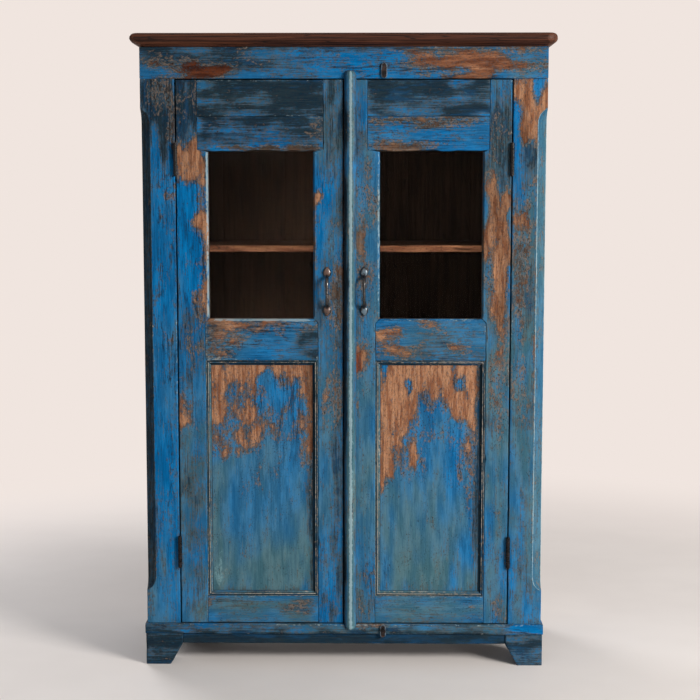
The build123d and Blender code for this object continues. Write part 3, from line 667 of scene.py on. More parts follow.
# Frieze: one wide board across the top of the front, over both posts. Its paint is bright in the middle, gone
# to dark brown wood at the lower left and to orange wood along most of the right half. Broad dark strokes
# make it darker towards the top, dirt together with painted shade, with a painted shadow of the top board
# along its top edge.
FRIEZE_WEAR_AND_SHADE = {
    "bare": (
        (110, 1570, 555, 1680, 0.62), (255, 1590, 470, 1655, 0.26), (310, 1575, 395, 1610, 0.54),
        (-415, 1580, -295, 1610, 0.5), (-280, 1625, -210, 1660, 0.36), (-545, 1570, -300, 1645, 0.6),
        (370, 1580, 450, 1615, -0.5),
    ),
    "aged": ((125, 1575, 540, 1672, -0.2), (-545, 1570, -230, 1645, -0.32)),
    # Dark: dirt and patches, broad strokes of painted shade towards the top, and a painted shadow band under
    # the top board.
    "dark": (
        (125, 1575, 540, 1672, 0.34), (-190, 1575, 140, 1672, 0.1), (-545, 1570, -250, 1665, 0.48),
        (-535, 1655, 535, 1672, 0.4), (-560, 1560, -150, 1690, 0.3), (-300, 1560, 300, 1690, 0.06),
        (465, 1615, 535, 1660, 0.25),
    ),
    "fade": ((-115, 1580, 125, 1660, -0.25), (425, 1580, 540, 1670, 0.3)),
}
painted_rail("frieze_rail", X, Z, 180, FRIEZE_WEAR_AND_SHADE, inner=1)

# Top board: thick dark wood with a rounded nose over a sloping underside, planed, left unpainted and oiled.
# It lies on the posts, the frieze and the back, and stands out over the front and both sides.
NOSE_TOP_ROUND = 0.014
NOSE_SWELL = 2.1
TOP_CORNER = 0.010
BACK_CORNER = 0.002
low, high = corners("top_board")
frieze_low, frieze_high = corners("frieze_rail")
nose_centre = high[Z] - NOSE_TOP_ROUND
overhang = high[X] - frieze_high[X]
rise = np.linspace(0, 1, 9)
slope_levels = low[Z] + rise * (nose_centre - low[Z])
slope_reach = overhang * (1 - (1 - rise) ** NOSE_SWELL)
arc = np.linspace(0, math.pi / 2, 8)
nose_levels = np.concatenate([slope_levels, nose_centre + NOSE_TOP_ROUND * np.sin(arc[1:])])
nose_reach = np.concatenate([slope_reach, overhang - NOSE_TOP_ROUND * (1 - np.cos(arc[1:]))])


def top_reach(level):
    """How far the top board stands out beyond the frame at each level of its moulded edge."""
    return np.interp(level, nose_levels, nose_reach)


def dark_top():
    """Dark reddish-brown wood with paler worn streaks along the grain, rubbed lighter at the edges."""
    mix = Finish("oiled_dark_top")
    lie = mix.attribute("grain", "Vector")
    rim = mix.attribute("rim", "Fac")
    fibre = mix.streaks(lie, 0.22, 0.004, detail=5.0)
    band = mix.streaks(lie, 0.40, 0.012, detail=4.0)
    colour = mix.over(mix.step(fibre, 0.36, 0.66), tone(30, 15, 10), tone(80, 45, 31))
    colour = mix.over(mix.step(band, 0.52, 0.66, 0.0, 0.55), colour, tone(112, 68, 46))
    colour = mix.over(mix.product(mix.cracks(lie, 0.35, 0.02, 0.010), 0.8), colour, tone(16, 9, 7))
    worn = mix.step(mix.total(-0.5, (rim, 0.8), (band, 1.0)), 0.45, 0.9, 0.0, 0.35)
    colour = mix.over(worn, colour, tone(112, 70, 50))
    dry = mix.step(fibre, 0.3, 0.7, 0.42, 0.62)
    mix.lay({"Base Color": colour, "Roughness": dry, "Specular IOR Level": 0.15})
    mix.relief(mix.total(0.5, (fibre, 0.7), (band, 0.5)), 0.0009)
    return mix.material


top_corners = np.array([TOP_CORNER, TOP_CORNER, BACK_CORNER, BACK_CORNER])
grid = board(low, high, Z, X, 190, arris=top_corners, grain=X, levels=nose_levels, wave=0.0009,
             sides=lambda level, depth: (frieze_low[X] - top_reach(level), frieze_high[X] + top_reach(level)),
             faces=lambda level: (frieze_low[Y] - top_reach(level), high[Y]))
piece("oiled_top_board", [grid], dark_top(), "carcase", ["top_board"])

# Doors: stiles run the whole height, with four rails tenoned between them. The stiles are cut wider beside
# the window, and the rail under it meets them in short mitres. Painted outside, bare inside.
TENON = 0.022
GLASS_COVER = 0.0075
REBATE = 0.009
MITRE = 0.011
BEVEL = 0.0045
SCALLOP, SCALLOP_WAVE = 0.004, 0.09
SCALLOP_SPREAD, SCALLOP_START = 2, 0.6
# Bevels round the windows that face right or up are painted paler, a painted highlight along with rubbed
# paint; the bevels that face left take the shaded rub and stay darker.
WINDOW_RUB_AND_HIGHLIGHT = {"left": (2.6, 2.4), "right": (1.7, 1.5)}
SHADED_RUB = (1.0, 0.8)
PANEL_PAINT = (-0.12, -0.12, 0.26, 0.35)
DOOR_WEAR_AND_SHADE = {
    # The broad dark strokes over both doors' top and window rails make the doors darker towards the top: dirt
    # together with painted shade.
    "left_door_top_rail": {
        "dark": (
            (-430, 1450, 0, 1615, 0.95), (-345, 1515, -190, 1550, -0.3), (-245, 1510, -180, 1550, -0.35),
        ),
        "fade": ((-390, 1480, -35, 1585, 0.15),),
    },
    "left_door_window_rail": {
        "dark": (
            (-395, 1465, -35, 1492, 0.6), (-395, 1395, -345, 1480, 0.6), (-140, 1395, -35, 1485, 0.5),
            (-420, 1375, -10, 1500, 0.4),
        ),
        "bare": ((-115, 1400, -35, 1485, 0.41), (-380, 1390, -70, 1410, 0.74)),
        "aged": ((-380, 1390, -35, 1425, 0.6),),
        "fade": ((-365, 1420, -115, 1475, -0.1),),
    },
    "left_door_hinge_stile": {
        "dark": (
            (-465, 1375, -350, 1605, 1.05), (-445, 1010, -390, 1300, -0.22),
            (-445, 825, -365, 1005, 0.55), (-440, 150, -375, 540, 0.4),
        ),
        "bare": (
            (-465, 1420, -350, 1600, 0.26), (-458, 1275, -364, 1412, 0.8), (-405, 1170, -362, 1230, 0.57),
            (-402, 950, -358, 1070, 0.62), (-394, 1060, -358, 1300, 0.5), (-435, 830, -370, 940, 0.41),
            (-445, 640, -385, 750, 0.49), (-450, 620, -425, 840, 0.34),
        ),
        "aged": ((-450, 1395, -365, 1585, 0.5), (-445, 825, -370, 950, 0.7)),
        "fade": ((-465, 65, -375, 645, 0.45), (-465, 960, -355, 1340, -0.35)),
    },
    "left_door_meeting_stile": {
        "dark": (
            (-75, 1355, 5, 1585, 0.4), (-30, 95, 5, 1370, 0.42), (-80, 105, 5, 190, 0.3),
            (-80, 850, -20, 1200, 0.25),
        ),
        "fade": ((-85, 95, 5, 1585, 0.25), (-80, 1220, -20, 1365, -0.4)),
        "bare": (
            (-85, 1245, -60, 1295, 0.61), (-90, 1100, -70, 1250, 0.54), (-65, 655, 5, 830, 0.51),
            (-42, 900, 5, 1150, 0.62),
        ),
        "aged": ((-60, 945, 5, 1095, 0.5),),
    },
    "left_door_lock_rail": {
        "bare": ((-390, 835, -280, 945, 0.72), (-355, 912, -110, 960, 0.62)),
        "fade": ((-385, 840, -60, 950, 0.12), (-290, 840, -125, 940, -0.2)),
        "dark": ((-130, 840, -45, 925, 0.75), (-385, 840, -350, 920, 0.45)),
        "aged": ((-385, 840, -315, 935, 0.4),),
    },
    "left_door_bottom_rail": {
        "fade": ((-395, 110, -60, 195, 0.4),),
        "dark": ((-395, 110, -60, 195, 0.2), (-165, 145, -70, 190, 0.35)),
        "bare": ((-390, 140, -345, 185, 0.41), (-175, 145, -75, 185, 0.41)),
        "aged": ((-175, 140, -70, 190, 0.5),),
    },
    "left_door_panel": {
        "bare": (
            (-460, 560, 20, 920, 0.46), (-430, 775, -10, 880, 0.56), (-400, 470, -340, 880, 0.34),
            (-112, 540, -58, 880, 0.44), (-118, 470, -74, 620, 0.4), (-360, 620, -240, 800, 0.2),
            (-262, 540, -222, 740, 0.24), (-325, 548, -265, 604, 0.5), (-190, 560, -110, 760, -0.15),
            (-225, 715, -140, 800, -0.5), (-395, 205, -340, 500, 0.24),
        ),
        "aged": ((-400, 190, -75, 540, 0.5),),
        "fade": (
            (-400, 150, -310, 560, 0.45), (-420, 130, -40, 340, 0.45), (-140, 150, -60, 560, 0.3),
            (-385, 330, -65, 720, 0.16),
        ),
        # The second dark stroke is a painted shadow cast on the panel by the right-hand moulding and stile.
        "dark": ((-395, 180, -60, 215, 0.45), (-98, 120, -74, 920, 0.85)),
    },
    "right_door_top_rail": {
        "dark": (
            (45, 1540, 385, 1590, 0.6), (245, 1480, 385, 1520, 0.6), (45, 1485, 125, 1585, 0.5),
            (25, 1460, 405, 1605, 0.42),
        ),
        "fade": ((45, 1480, 385, 1585, 0.25), (125, 1495, 380, 1550, -0.1)),
    },
    "right_door_window_rail": {
        "bare": ((100, 1455, 385, 1490, 0.54), (100, 1395, 300, 1420, 0.68), (90, 1395, 155, 1440, 0.41)),
        "dark": ((100, 1455, 385, 1490, 0.45), (60, 1370, 420, 1500, 0.14)),
        "aged": ((90, 1395, 385, 1490, 0.5),),
        "fade": ((140, 1420, 380, 1465, -0.1),),
    },
    "right_door_meeting_stile": {
        "fade": ((5, 95, 100, 1585, 0.3),),
        "bare": (
            (10, 1040, 90, 1400, 0.35), (20, 1100, 65, 1205, 0.46), (8, 745, 66, 885, 0.85),
            (30, 900, 95, 1130, 0.4), (15, 110, 90, 260, 0.27),
        ),
        "dark": (
            (50, 250, 100, 800, -0.15), (10, 1345, 70, 1585, 0.35), (10, 865, 65, 1035, 0.45),
            (15, 110, 90, 260, 0.35),
        ),
        "aged": ((8, 745, 66, 885, -0.4), (10, 865, 70, 1585, 0.5)),
    },
    "right_door_hinge_stile": {
        "bare": (
            (378, 900, 448, 1345, 0.26), (375, 1135, 450, 1315, 0.74), (380, 985, 445, 1155, 0.81),
            (390, 660, 445, 1005, 0.54), (370, 1380, 435, 1500, 0.3), (390, 120, 450, 200, 0.34),
        ),
        "dark": (
            (378, 900, 448, 1345, 0.16), (370, 1320, 445, 1580, 0.35), (345, 900, 475, 1640, 0.28),
            (390, 110, 455, 205, 0.3),
        ),
        "fade": ((360, 60, 460, 1600, 0.42),),
    },
    "right_door_lock_rail": {
        "fade": ((75, 830, 385, 955, 0.18),),
        "dark": ((75, 830, 385, 955, 0.1), (75, 830, 385, 890, 0.25)),
        "bare": (
            (75, 830, 385, 955, 0.06), (78, 865, 150, 935, 0.62), (205, 905, 285, 950, 0.66),
            (115, 850, 235, 890, 0.58), (275, 855, 340, 895, 0.58),
        ),
    },
    "right_door_bottom_rail": {
        "fade": ((75, 110, 450, 200, 0.35),),
        "dark": ((75, 110, 450, 150, 0.2),),
        "bare": ((320, 125, 445, 190, 0.38),),
    },
    "right_door_panel": {
        "bare": (
            (55, 700, 405, 880, 1.0), (60, 540, 165, 790, 0.8), (145, 640, 225, 750, 0.34),
            (220, 680, 335, 750, 0.44), (312, 480, 372, 760, 0.6), (85, 490, 135, 600, 0.5),
            (140, 530, 210, 625, 0.36), (210, 615, 290, 655, 0.25), (215, 675, 255, 765, -0.25),
            (98, 745, 128, 795, -0.62), (162, 750, 190, 800, -0.62), (245, 690, 272, 750, -0.55),
            (306, 750, 332, 800, -0.62), (180, 525, 198, 640, 0.5), (208, 530, 224, 640, 0.5),
        ),
        "fade": ((75, 130, 380, 600, 0.36), (85, 175, 370, 290, 0.25)),
        # The second dark stroke is a painted shadow cast on the panel by the right-hand moulding and stile.
        "dark": ((85, 195, 370, 225, 0.2), (351, 120, 375, 920, 0.85)),
    },
}


def door_boards(label, seed):
    """The six boards of one door's frame. Beside the window the front lip stays and the back is rebated."""
    body = f"{label}_door"
    glass_low, glass_high = corners(f"{body}_glass")
    opening_low, opening_high = corners(f"{body}_panel_moulding")
    pane = ((glass_low[X] + GLASS_COVER, glass_high[X] - GLASS_COVER),
            (glass_low[Z] + GLASS_COVER, glass_high[Z] - GLASS_COVER))
    pocket = ((pane[0][0] - REBATE, pane[0][1] + REBATE), (pane[1][0] - REBATE, pane[1][1] + REBATE))
    lip = glass_low[Y]
    rail_low, rail_high = corners(f"{body}_top_rail")
    upper_ends = (rail_low[X] + TENON, rail_high[X] - TENON)

    def finish_board(node, grid, number, base=SOUND_PAINT):
        wear_and_shading(grid, DOOR_WEAR_AND_SHADE[node], base, seed + number)
        painted(node, [grid], body)

    def scalloped(place):
        spot = np.concatenate([place, place, place], axis=1)
        depth = ripple(spot, SCALLOP_WAVE, seed + 9) * SCALLOP_SPREAD - SCALLOP_START
        return SCALLOP * np.clip(depth, 0, 1)[:, None]

    def in_pocket(place, depth, span):
        return (place > span[0]) & (place < span[1]) & (depth > lip)

    def stile_sides(inner_is_high):
        end = 0 if inner_is_high else 1
        edge = low[X] if inner_is_high else high[X]
        levels = (low[Z], pane[1][0] - MITRE, pane[1][0], pane[1][1], pane[1][1] + MARK_HALF, high[Z])
        opening = (opening_low[X], opening_high[X])[end]
        reach = (opening, opening, pane[0][end], pane[0][end], upper_ends[end], upper_ends[end])

        def sides(height, depth):
            inner = np.interp(height, levels, reach) + 0 * depth
            cut = in_pocket(height, depth, pocket[1])
            if inner_is_high:
                return edge, np.where(cut, np.minimum(inner, pocket[0][0]), inner)
            return np.where(cut, np.maximum(inner, pocket[0][1]), inner), edge

        return sides

    for number, stile in enumerate(("hinge", "meeting")):
        node = f"{body}_{stile}_stile"
        low, high = corners(node)
        marks = [level - low[Z] for level in (pane[1][0] - MITRE, *pane[1], *pocket[1])]
        inner_is_high = (stile == "hinge") == (label == "left")
        # A bevel that faces right takes the painted highlight, one that faces left the shaded rub.
        grid = board(low, high, Z, X, seed + number, inner=1, sides=stile_sides(inner_is_high),
                     row_marks=marks, depth_marks=(lip - low[Y],), flat_corner=1 if inner_is_high else 0,
                     corner_size=lambda height: BEVEL * ((height > pane[1][0]) & (height < pane[1][1])),
                     corner_rim=WINDOW_RUB_AND_HIGHLIGHT[label] if inner_is_high else SHADED_RUB)
        finish_board(node, grid, number)

    for number, rail in enumerate(("top", "window", "lock", "bottom")):
        node = f"{body}_{rail}_rail"
        low, high = corners(node)
        low[X] += TENON
        high[X] -= TENON
        shape = {}
        if rail == "window":
            shape["sides"] = lambda place, depth: (
                low[Z] + np.maximum(REBATE * in_pocket(place, depth, pocket[0]), scalloped(place)),
                high[Z] + 0 * depth)
        if rail == "lock":
            shape["sides"] = lambda place, depth: (
                low[Z] + 0 * depth, high[Z] - REBATE * in_pocket(place, depth, pocket[0]))
            shape["flat_corner"] = 1
            # The lock rail's bevel faces up and takes the painted highlight.
            shape["corner_rim"] = WINDOW_RUB_AND_HIGHLIGHT[label]
            shape["corner_size"] = lambda place: BEVEL * ((place > pane[0][0]) & (place < pane[0][1]))
            shape["ends"] = lambda height: (low[X] + np.clip(height - high[Z] + MITRE, 0, MITRE),
                                            high[X] - np.clip(height - high[Z] + MITRE, 0, MITRE))
        if shape:
            shape["row_marks"] = [edge - low[X] for edge in pocket[0]]
            shape["depth_marks"] = (lip - low[Y],)
        grid = board(low, high, X, Z, seed + 2 + number, inner=1, **shape)
        finish_board(node, grid, 2 + number)

    node = f"{body}_panel"
    low, high = corners(node)
    low[[X, Z]] += PANEL_SHOWN
    high[[X, Z]] -= PANEL_SHOWN
    finish_board(node, board(low, high, Z, X, seed + 6, inner=1, wave=0.001), 6, PANEL_PAINT)


door_boards("left", 200)
door_boards("right", 220)

# Panel mouldings: thin strips with two small beads and a hollow, mitred at the corners and pinned round each
# panel. The paint on them has worn along the beads. The hollow is painted pale on the left and bottom strips,
# which face the lamp, as a painted highlight, and dark on the right and top strips as painted shade; the
# grooves are painted dark on all four, soot together with painted shade.
MOULDING_PROFILE = np.array([
    (0.0, 10.0), (0.0, 2.0), (0.5, 1.3), (1.5, 1.0), (2.6, 1.4), (3.2, 2.4), (3.5, 4.2), (4.3, 4.6),
    (4.9, 3.4), (5.8, 2.7), (7.0, 2.9), (7.8, 3.8), (8.2, 6.0), (9.0, 7.4), (10.6, 8.4), (12.4, 8.8),
    (13.8, 9.0), (14.0, 10.0)
]) / 1000
MOULDING_CROWN = 0.001
MOULDING_SPACING = 0.008
MOULDING_DIP, MOULDING_WAVE = 0.0004, 0.05
MOULDING_MARKS = (0.0, 0.0014, 0.0036, 0.0060, 0.0084, 0.0105, 0.0132, 0.0140)
# Pale along the profile: rubbed beads on every strip, and a painted highlight in the hollow of the lit
# strips.
MOULDING_RUB_AND_HIGHLIGHT = {True: (-1, 2.4, -1, 3.4, 0.2, 1.6, 0.6, -1), False: (-1, 2.4, -1, 2.8, -1, -1, -1, -1)}
# Dark along the profile: soot and painted shade in the grooves, and painted shade over the shaded strips'
# hollow.
MOULDING_SOOT_AND_SHADE = {True: (0.9, 0, 0.9, 0, 0.4, 0, 0.2, 0.9), False: (0.9, 0, 0.9, 0, 0.9, 0.9, 0.9, 0.9)}
# Left, right, bottom and top strips in turn: the right and top ones are painted darker as painted shade.
MOULDING_LIT_AND_SHADED_PAINT = (
    (-0.05, 0.05, 0.70, 0.75),
    (0.05, 0.20, 0.50, 0.75),
    (-0.10, 0.05, 0.75, 0.75),
    (0.05, 0.30, 0.50, 0.75),
)


def moulding_strip(front, start, end, edge, inwards, upright, seed):
    """A profile carried along one side of the opening. Each profile point starts and ends further in by its
    own distance from the edge, which makes the mitres."""
    reach, drop = MOULDING_PROFILE.T
    way = np.linspace(0, 1, max(12, round((end - start) / MOULDING_SPACING)))[:, None]
    length = (start + reach) + way * (end - start - 2 * reach)
    points = np.zeros(length.shape + (3,))
    points[..., Z if upright else X] = length
    points[..., X if upright else Z] = edge + inwards * reach
    points[..., Y] = front + drop
    points[..., Y] += MOULDING_DIP * ripple(points, MOULDING_WAVE, seed)
    lie = [Z, X, Y] if upright else [X, Z, Y]
    # True is for the lit strips, which face right or up, False for the shaded ones.
    rubbed, sooty_and_shaded = (np.interp(reach, MOULDING_MARKS, marks[inwards > 0])
                     for marks in (MOULDING_RUB_AND_HIGHLIGHT, MOULDING_SOOT_AND_SHADE))
    draw = np.random.default_rng(seed)
    return tube(points, upright == (inwards > 0), lie, draw, rim=rubbed, inner=False, soot=sooty_and_shaded)


def panel_moulding(label, seed):
    """Four strips round the panel opening of one door."""
    node = f"{label}_door_panel_moulding"
    low, high = corners(node)
    front = low[Y] - MOULDING_CROWN
    strips = [
        moulding_strip(front, low[Z], high[Z], low[X], 1, True, seed),
        moulding_strip(front, low[Z], high[Z], high[X], -1, True, seed + 1),
        moulding_strip(front, low[X], high[X], low[Z], 1, False, seed + 2),
        moulding_strip(front, low[X], high[X], high[Z], -1, False, seed + 3),
    ]
    for strip, paint in zip(strips, MOULDING_LIT_AND_SHADED_PAINT):
        wear_and_shading(strip, base=paint, seed=seed, drift=0.3)
        # The dark added here is soot together with painted shade.
        strip["finish"][:, CHANNELS.index("dark")] += strip["soot"]
    painted(node, strips, f"{label}_door")


panel_moulding("left", 240)
panel_moulding("right", 250)

# Window panes: thin old drawn glass, a little uneven, set into the rebates of the doors. Mitred strips of
# brown wood hold it from behind.
GLASS_TINT = (0.86, 0.80, 0.74, 1.0)
GLASS_IOR = 1.08


def old_glass():
    """Clear glass with a slight brown tint and long shallow waves."""
    mix = Finish("old_drawn_glass")
    lie = mix.node("ShaderNodeTexCoord", "Object", {})
    waves = mix.streaks(lie, 0.09, 0.05, detail=1.0, roughness=0.3)
    mix.lay({"Base Color": GLASS_TINT, "Transmission Weight": 1.0, "Roughness": 0.0, "IOR": GLASS_IOR})
    mix.relief(waves, 0.002, 0.1)
    return mix.material


def dress(node, material):
    """Give a CAD node that keeps its own shape a finish."""
    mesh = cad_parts[node].data
    mesh.materials.clear()
    mesh.materials.append(material)


def bead_wood():
    """Plain brown wood for the beads behind the glass, streaked by its place along the strips."""
    mix = Finish("glazing_bead_wood")
    wood, fibre = old_wood(mix, mix.node("ShaderNodeTexCoord", "Object", {}), 0.8)
    mix.lay({"Base Color": wood, "Roughness": 0.7})
    mix.relief(fibre, 0.0006)
    return mix.material


pane_glass, strip_wood = old_glass(), bead_wood()
for label, _ in SIDES:
    dress(f"{label}_door_glass", pane_glass)
    dress(f"{label}_door_glazing_beads", strip_wood)

# Meeting bead: a half-round strip glued and nailed down the meeting edge of the right door. It laps over the
# frieze above and over the base rail below, where its back is cut away to clear the rail.
BEAD_PAINT = (-0.12, 0.0, 0.34, 0.3)
# The left flank is painted dark as painted shade, the stripe right of the crown is painted pale as a painted
# highlight with rubbed paint, and the right flank is darkened to blend into the stile.
BEAD_WEAR_AND_SHADING = {
    "fade": ((11, -900, 27, 2600, 0.8),),
    "dark": ((-14, -900, 7, 2600, 0.9), (28, -900, 44, 2600, 0.3)),
}
BEAD_END, BEAD_END_FALL = 0.012, 0.6
BEAD_DIP, BEAD_WAVE = 0.0005, 0.12
BEAD_NOTCH_GAP = 0.0008
STRIPE_RUB_AND_HIGHLIGHT, STRIPE_MIDDLE, STRIPE_HALF = 4.0, 0.08, 0.24


def meeting_bead(seed):
    """Half an ellipse carried upwards: at both ends its width and height shrink along a quarter circle. A
    stripe beside its crown is painted pale by a bell curve, rubbed paint together with a painted highlight."""
    low, high = corners("meeting_bead")
    door_low = corners("right_door_meeting_stile")[0]
    rail_low = corners("front_base_rail")[0]
    turn = np.linspace(0, math.pi, 25)
    back = np.linspace(1, -1, 7)[1:-1]
    beside = np.concatenate([-np.cos(turn), back])
    ahead = np.concatenate([np.sin(turn), np.zeros(len(back))])
    arc = np.linspace(0, math.pi / 2, 7)[:-1]
    lead, pinch = BEAD_END * (1 - np.cos(arc)), BEAD_END * (1 - np.sin(arc))
    middle = np.linspace(low[Z] + BEAD_END, high[Z] - BEAD_END, 160)
    level = np.concatenate([low[Z] + lead, middle, high[Z] - lead[::-1]])[:, None]
    inset = np.concatenate([pinch, np.zeros(len(middle)), pinch[::-1]])[:, None]
    half = (high[X] - low[X]) / 2
    reach = door_low[Y] - low[Y]
    points = np.zeros((len(level), len(beside), 3))
    points[..., X] = (low[X] + high[X]) / 2 + beside * (half - inset)
    points[..., Y] = door_low[Y] - ahead * (reach - BEAD_END_FALL * inset)
    points[..., Z] = level
    points[..., Y] += BEAD_DIP * ripple(points, BEAD_WAVE, seed) * ahead
    cut = np.where(level < door_low[Z], rail_low[Y] - BEAD_NOTCH_GAP, door_low[Y])
    points[..., Y] = np.minimum(points[..., Y], cut)
    # The pale stripe: rubbed paint together with a painted highlight.
    stripe = STRIPE_RUB_AND_HIGHLIGHT * np.exp(-(((beside - STRIPE_MIDDLE) / STRIPE_HALF) ** 2)) * (ahead > 0)
    return tube(points, False, [Z, X, Y], np.random.default_rng(seed), rim=stripe, inner=False)


grid = wear_and_shading(meeting_bead(260), BEAD_WEAR_AND_SHADING, BEAD_PAINT, 260)
painted("meeting_bead", [grid], "right_door")

# Hinges: forged butt hinges let into the posts and the door edges, with pins and countersunk screws. Only the
# knuckles show when the doors are shut: nearly black iron with rust and traces of the blue paint.
def forged_iron(name, rust_share, blackest, brown, gloss=0.3, leaf=(88, 106, 120)):
    """Dark hammered iron, brown and orange where it rusts, with another colour in patches on the leaves."""
    mix = Finish(name)
    lie = mix.node("ShaderNodeTexCoord", "Object", {})
    rust = mix.streaks(lie, 0.010, 0.010, detail=6.0, roughness=0.7)
    dents = mix.streaks(lie, 0.006, 0.006, detail=2.0)
    paint = mix.streaks(lie, 0.012, 0.012, detail=4.0)
    colour = mix.over(mix.step(rust, 0.40, 0.62), tone(*blackest), tone(*brown))
    colour = mix.over(mix.step(rust, 0.58, 0.70, 0.0, rust_share), colour, tone(140, 78, 44))
    kept = mix.step(mix.total(-0.5, (mix.attribute("rim", "Fac"), 0.6), (paint, 1.0)), 0.40, 0.60, 0.0, 0.9)
    colour = mix.over(kept, colour, tone(*leaf))
    dry = mix.step(rust, 0.35, 0.65, 0.20, 0.42)
    mix.lay({"Base Color": colour, "Roughness": dry, "Metallic": 0.1, "Specular IOR Level": gloss})
    mix.relief(mix.total(0.4, (rust, 0.5), (dents, 0.8)), 0.0003)
    return mix.material


hinge_iron = forged_iron("blackened_hinge_iron", 0.05, (10, 10, 11), (26, 22, 22), 0.2)
for node in ("frame_hinge_leaves", "frame_hinge_screws", "hinge_pins", "button_screws"):
    dress(node, hinge_iron)
for label, _ in SIDES:
    dress(f"{label}_door_hinge_leaves", hinge_iron)
    dress(f"{label}_door_fasteners", hinge_iron)

# Pull handles: a bowed bar, thinner in the middle, forged in one with two leaf-shaped plates that are nailed
# on. The left one is bare and rusty, the right one keeps some of the blue paint.
LEAF_LENGTH, LEAF_WIDTH, LEAF_THICKNESS = 0.030, 0.022, 0.007
BAR_RADIUS, BAR_WAIST = 0.0052, 0.0038
BAR_BOW = 4.5
BAR_ROOT = 0.4
LEAF_FULLNESS, LEAF_BLUNTNESS, LEAF_DOME = 1.15, 0.6, 0.8


def carried_round(path, radius, sides=14):
    """A circle of changing radius carried along a path that lies in one upright plane of constant x."""
    ahead = np.gradient(path, axis=0)
    ahead /= np.linalg.norm(ahead, axis=1)[:, None]
    beside = np.array([1.0, 0.0, 0.0])
    up = np.cross(ahead, beside)
    turn = np.linspace(0, 2 * math.pi, sides, endpoint=False)[:, None]
    ring = np.cos(turn)[None] * beside + np.sin(turn)[None] * up[:, None, :]
    points = path[:, None, :] + radius[:, None, None] * ring
    return tube(points, True, rim=0.0)


def leaf_plate(middle, tip, up, back):
    """A domed leaf: across at each place along it, its half width follows a sine that is fuller near the bar,
    and its face is a low arch. A flat back closes it."""
    way = np.linspace(0.02, 0.98, 22)[:, None]
    half = LEAF_WIDTH / 2 * np.sin(math.pi * way**LEAF_FULLNESS) ** LEAF_BLUNTNESS
    turn = np.linspace(0, math.pi, 13)
    beside = np.concatenate([-np.cos(turn), np.linspace(1, -1, 5)[1:-1]])
    arch = np.concatenate([np.sin(turn) ** LEAF_DOME, np.zeros(3)])
    points = np.zeros((len(way), len(beside), 3))
    points[..., X] = middle + beside * half
    points[..., Y] = back - arch * LEAF_THICKNESS * np.sqrt(half / (LEAF_WIDTH / 2))
    points[..., Z] = tip - up * LEAF_LENGTH * way
    return tube(points, up > 0, rim=arch)


def pull_handle(label, material):
    """A bar bowed out between two plates: its distance from the door is one minus a power of the way from its
    middle to its ends, and it is thinnest in the middle."""
    node = f"{label}_door_handle"
    low, high = corners(node)
    middle = (low + high) / 2
    way = np.sin(np.linspace(-math.pi / 2, math.pi / 2, 48))
    root = high[Y] - BAR_ROOT * LEAF_THICKNESS
    path = np.column_stack([
        np.full(len(way), middle[X]),
        root - (1 - np.abs(way) ** BAR_BOW) * (root - low[Y] - BAR_WAIST),
        middle[Z] + way * (middle[Z] - low[Z] - LEAF_LENGTH + BAR_RADIUS),
    ])
    bar = carried_round(path, BAR_WAIST + (BAR_RADIUS - BAR_WAIST) * way**2)
    leaves = [leaf_plate(middle[X], high[Z], 1, high[Y]), leaf_plate(middle[X], low[Z], -1, high[Y])]
    piece(f"forged_{node}", [bar, *leaves], material, f"{label}_door", [node])


pull_handle("left", forged_iron("rusty_handle_iron", 0.2, (12, 9, 9), (26, 18, 16), 0.8, (84, 57, 44)))
pull_handle("right", forged_iron("painted_handle_iron", 0.1, (10, 11, 13), (22, 22, 25), 0.6, (88, 108, 121)))

# Turn-buttons: small forged plates with round ends, brown with rust, one on the frieze and one on the base
# rail. Each turns on a screw.
BUTTON_TIP = 0.12


def turn_button(node, body, seed):
    """A plate with half-round ends: at each level its half width follows the circle of its nearer end."""
    low, high = corners(node)
    half = (high[X] - low[X]) / 2
    middle = (low[X] + high[X]) / 2
    turn = np.linspace(BUTTON_TIP, math.pi / 2, 9)
    lead = half * (1 - np.cos(turn))
    levels = np.concatenate([low[Z] + lead, np.linspace(low[Z] + half, high[Z] - half, 8)[1:-1],
                             high[Z] - lead[::-1]])

    def sides(level, depth):
        past = np.maximum(np.maximum(low[Z] + half - level, level - high[Z] + half), 0)
        reach = np.sqrt(np.maximum(half**2 - past**2, 0))
        return middle - reach, middle + reach

    grid = board(low, high, Z, X, seed, arris=0.0007, wave=0.0003, levels=levels, sides=sides)
    piece(f"forged_{node}", [grid], rusty_button, body, [node])


rusty_button = forged_iron("rusty_button_iron", 0.4, (16, 12, 12), (42, 27, 22))
turn_button("top_turn_button", "top_button", 270)
turn_button("bottom_turn_button", "bottom_button", 271)

# Studio: a wide pale floor that fades into the background, a large soft lamp and a narrow upright one from
# the right, a weak one from the left, one from behind and a pale surround. The camera stands where the
# photograph was taken, on a 700 by 700 picture.
SURROUND = tone(240, 229, 223)
FLOOR_REACH = 14.0
LIGHT_SIDE = (0.83, -0.25, 0.5)
FADE_START, FADE_END = 1.2, 2.8
UNSEEN_GLOW = 0.15
SURROUND_RANGE = {"From Min": -0.6, "From Max": 1.0, "To Min": 0.05, "To Max": 0.32}


def seen(mix):
    """1 for rays that make the picture, straight, by reflection or through glass, and 0 for other light."""
    sight = mix.tree.nodes.new("ShaderNodeLightPath")
    rays = sight.outputs["Is Camera Ray"]
    for path in ("Is Glossy Ray", "Is Transmission Ray"):
        rays = mix.node("ShaderNodeMath", 0, {0: rays, 1: sight.outputs[path]}, operation="MAXIMUM")
    return rays


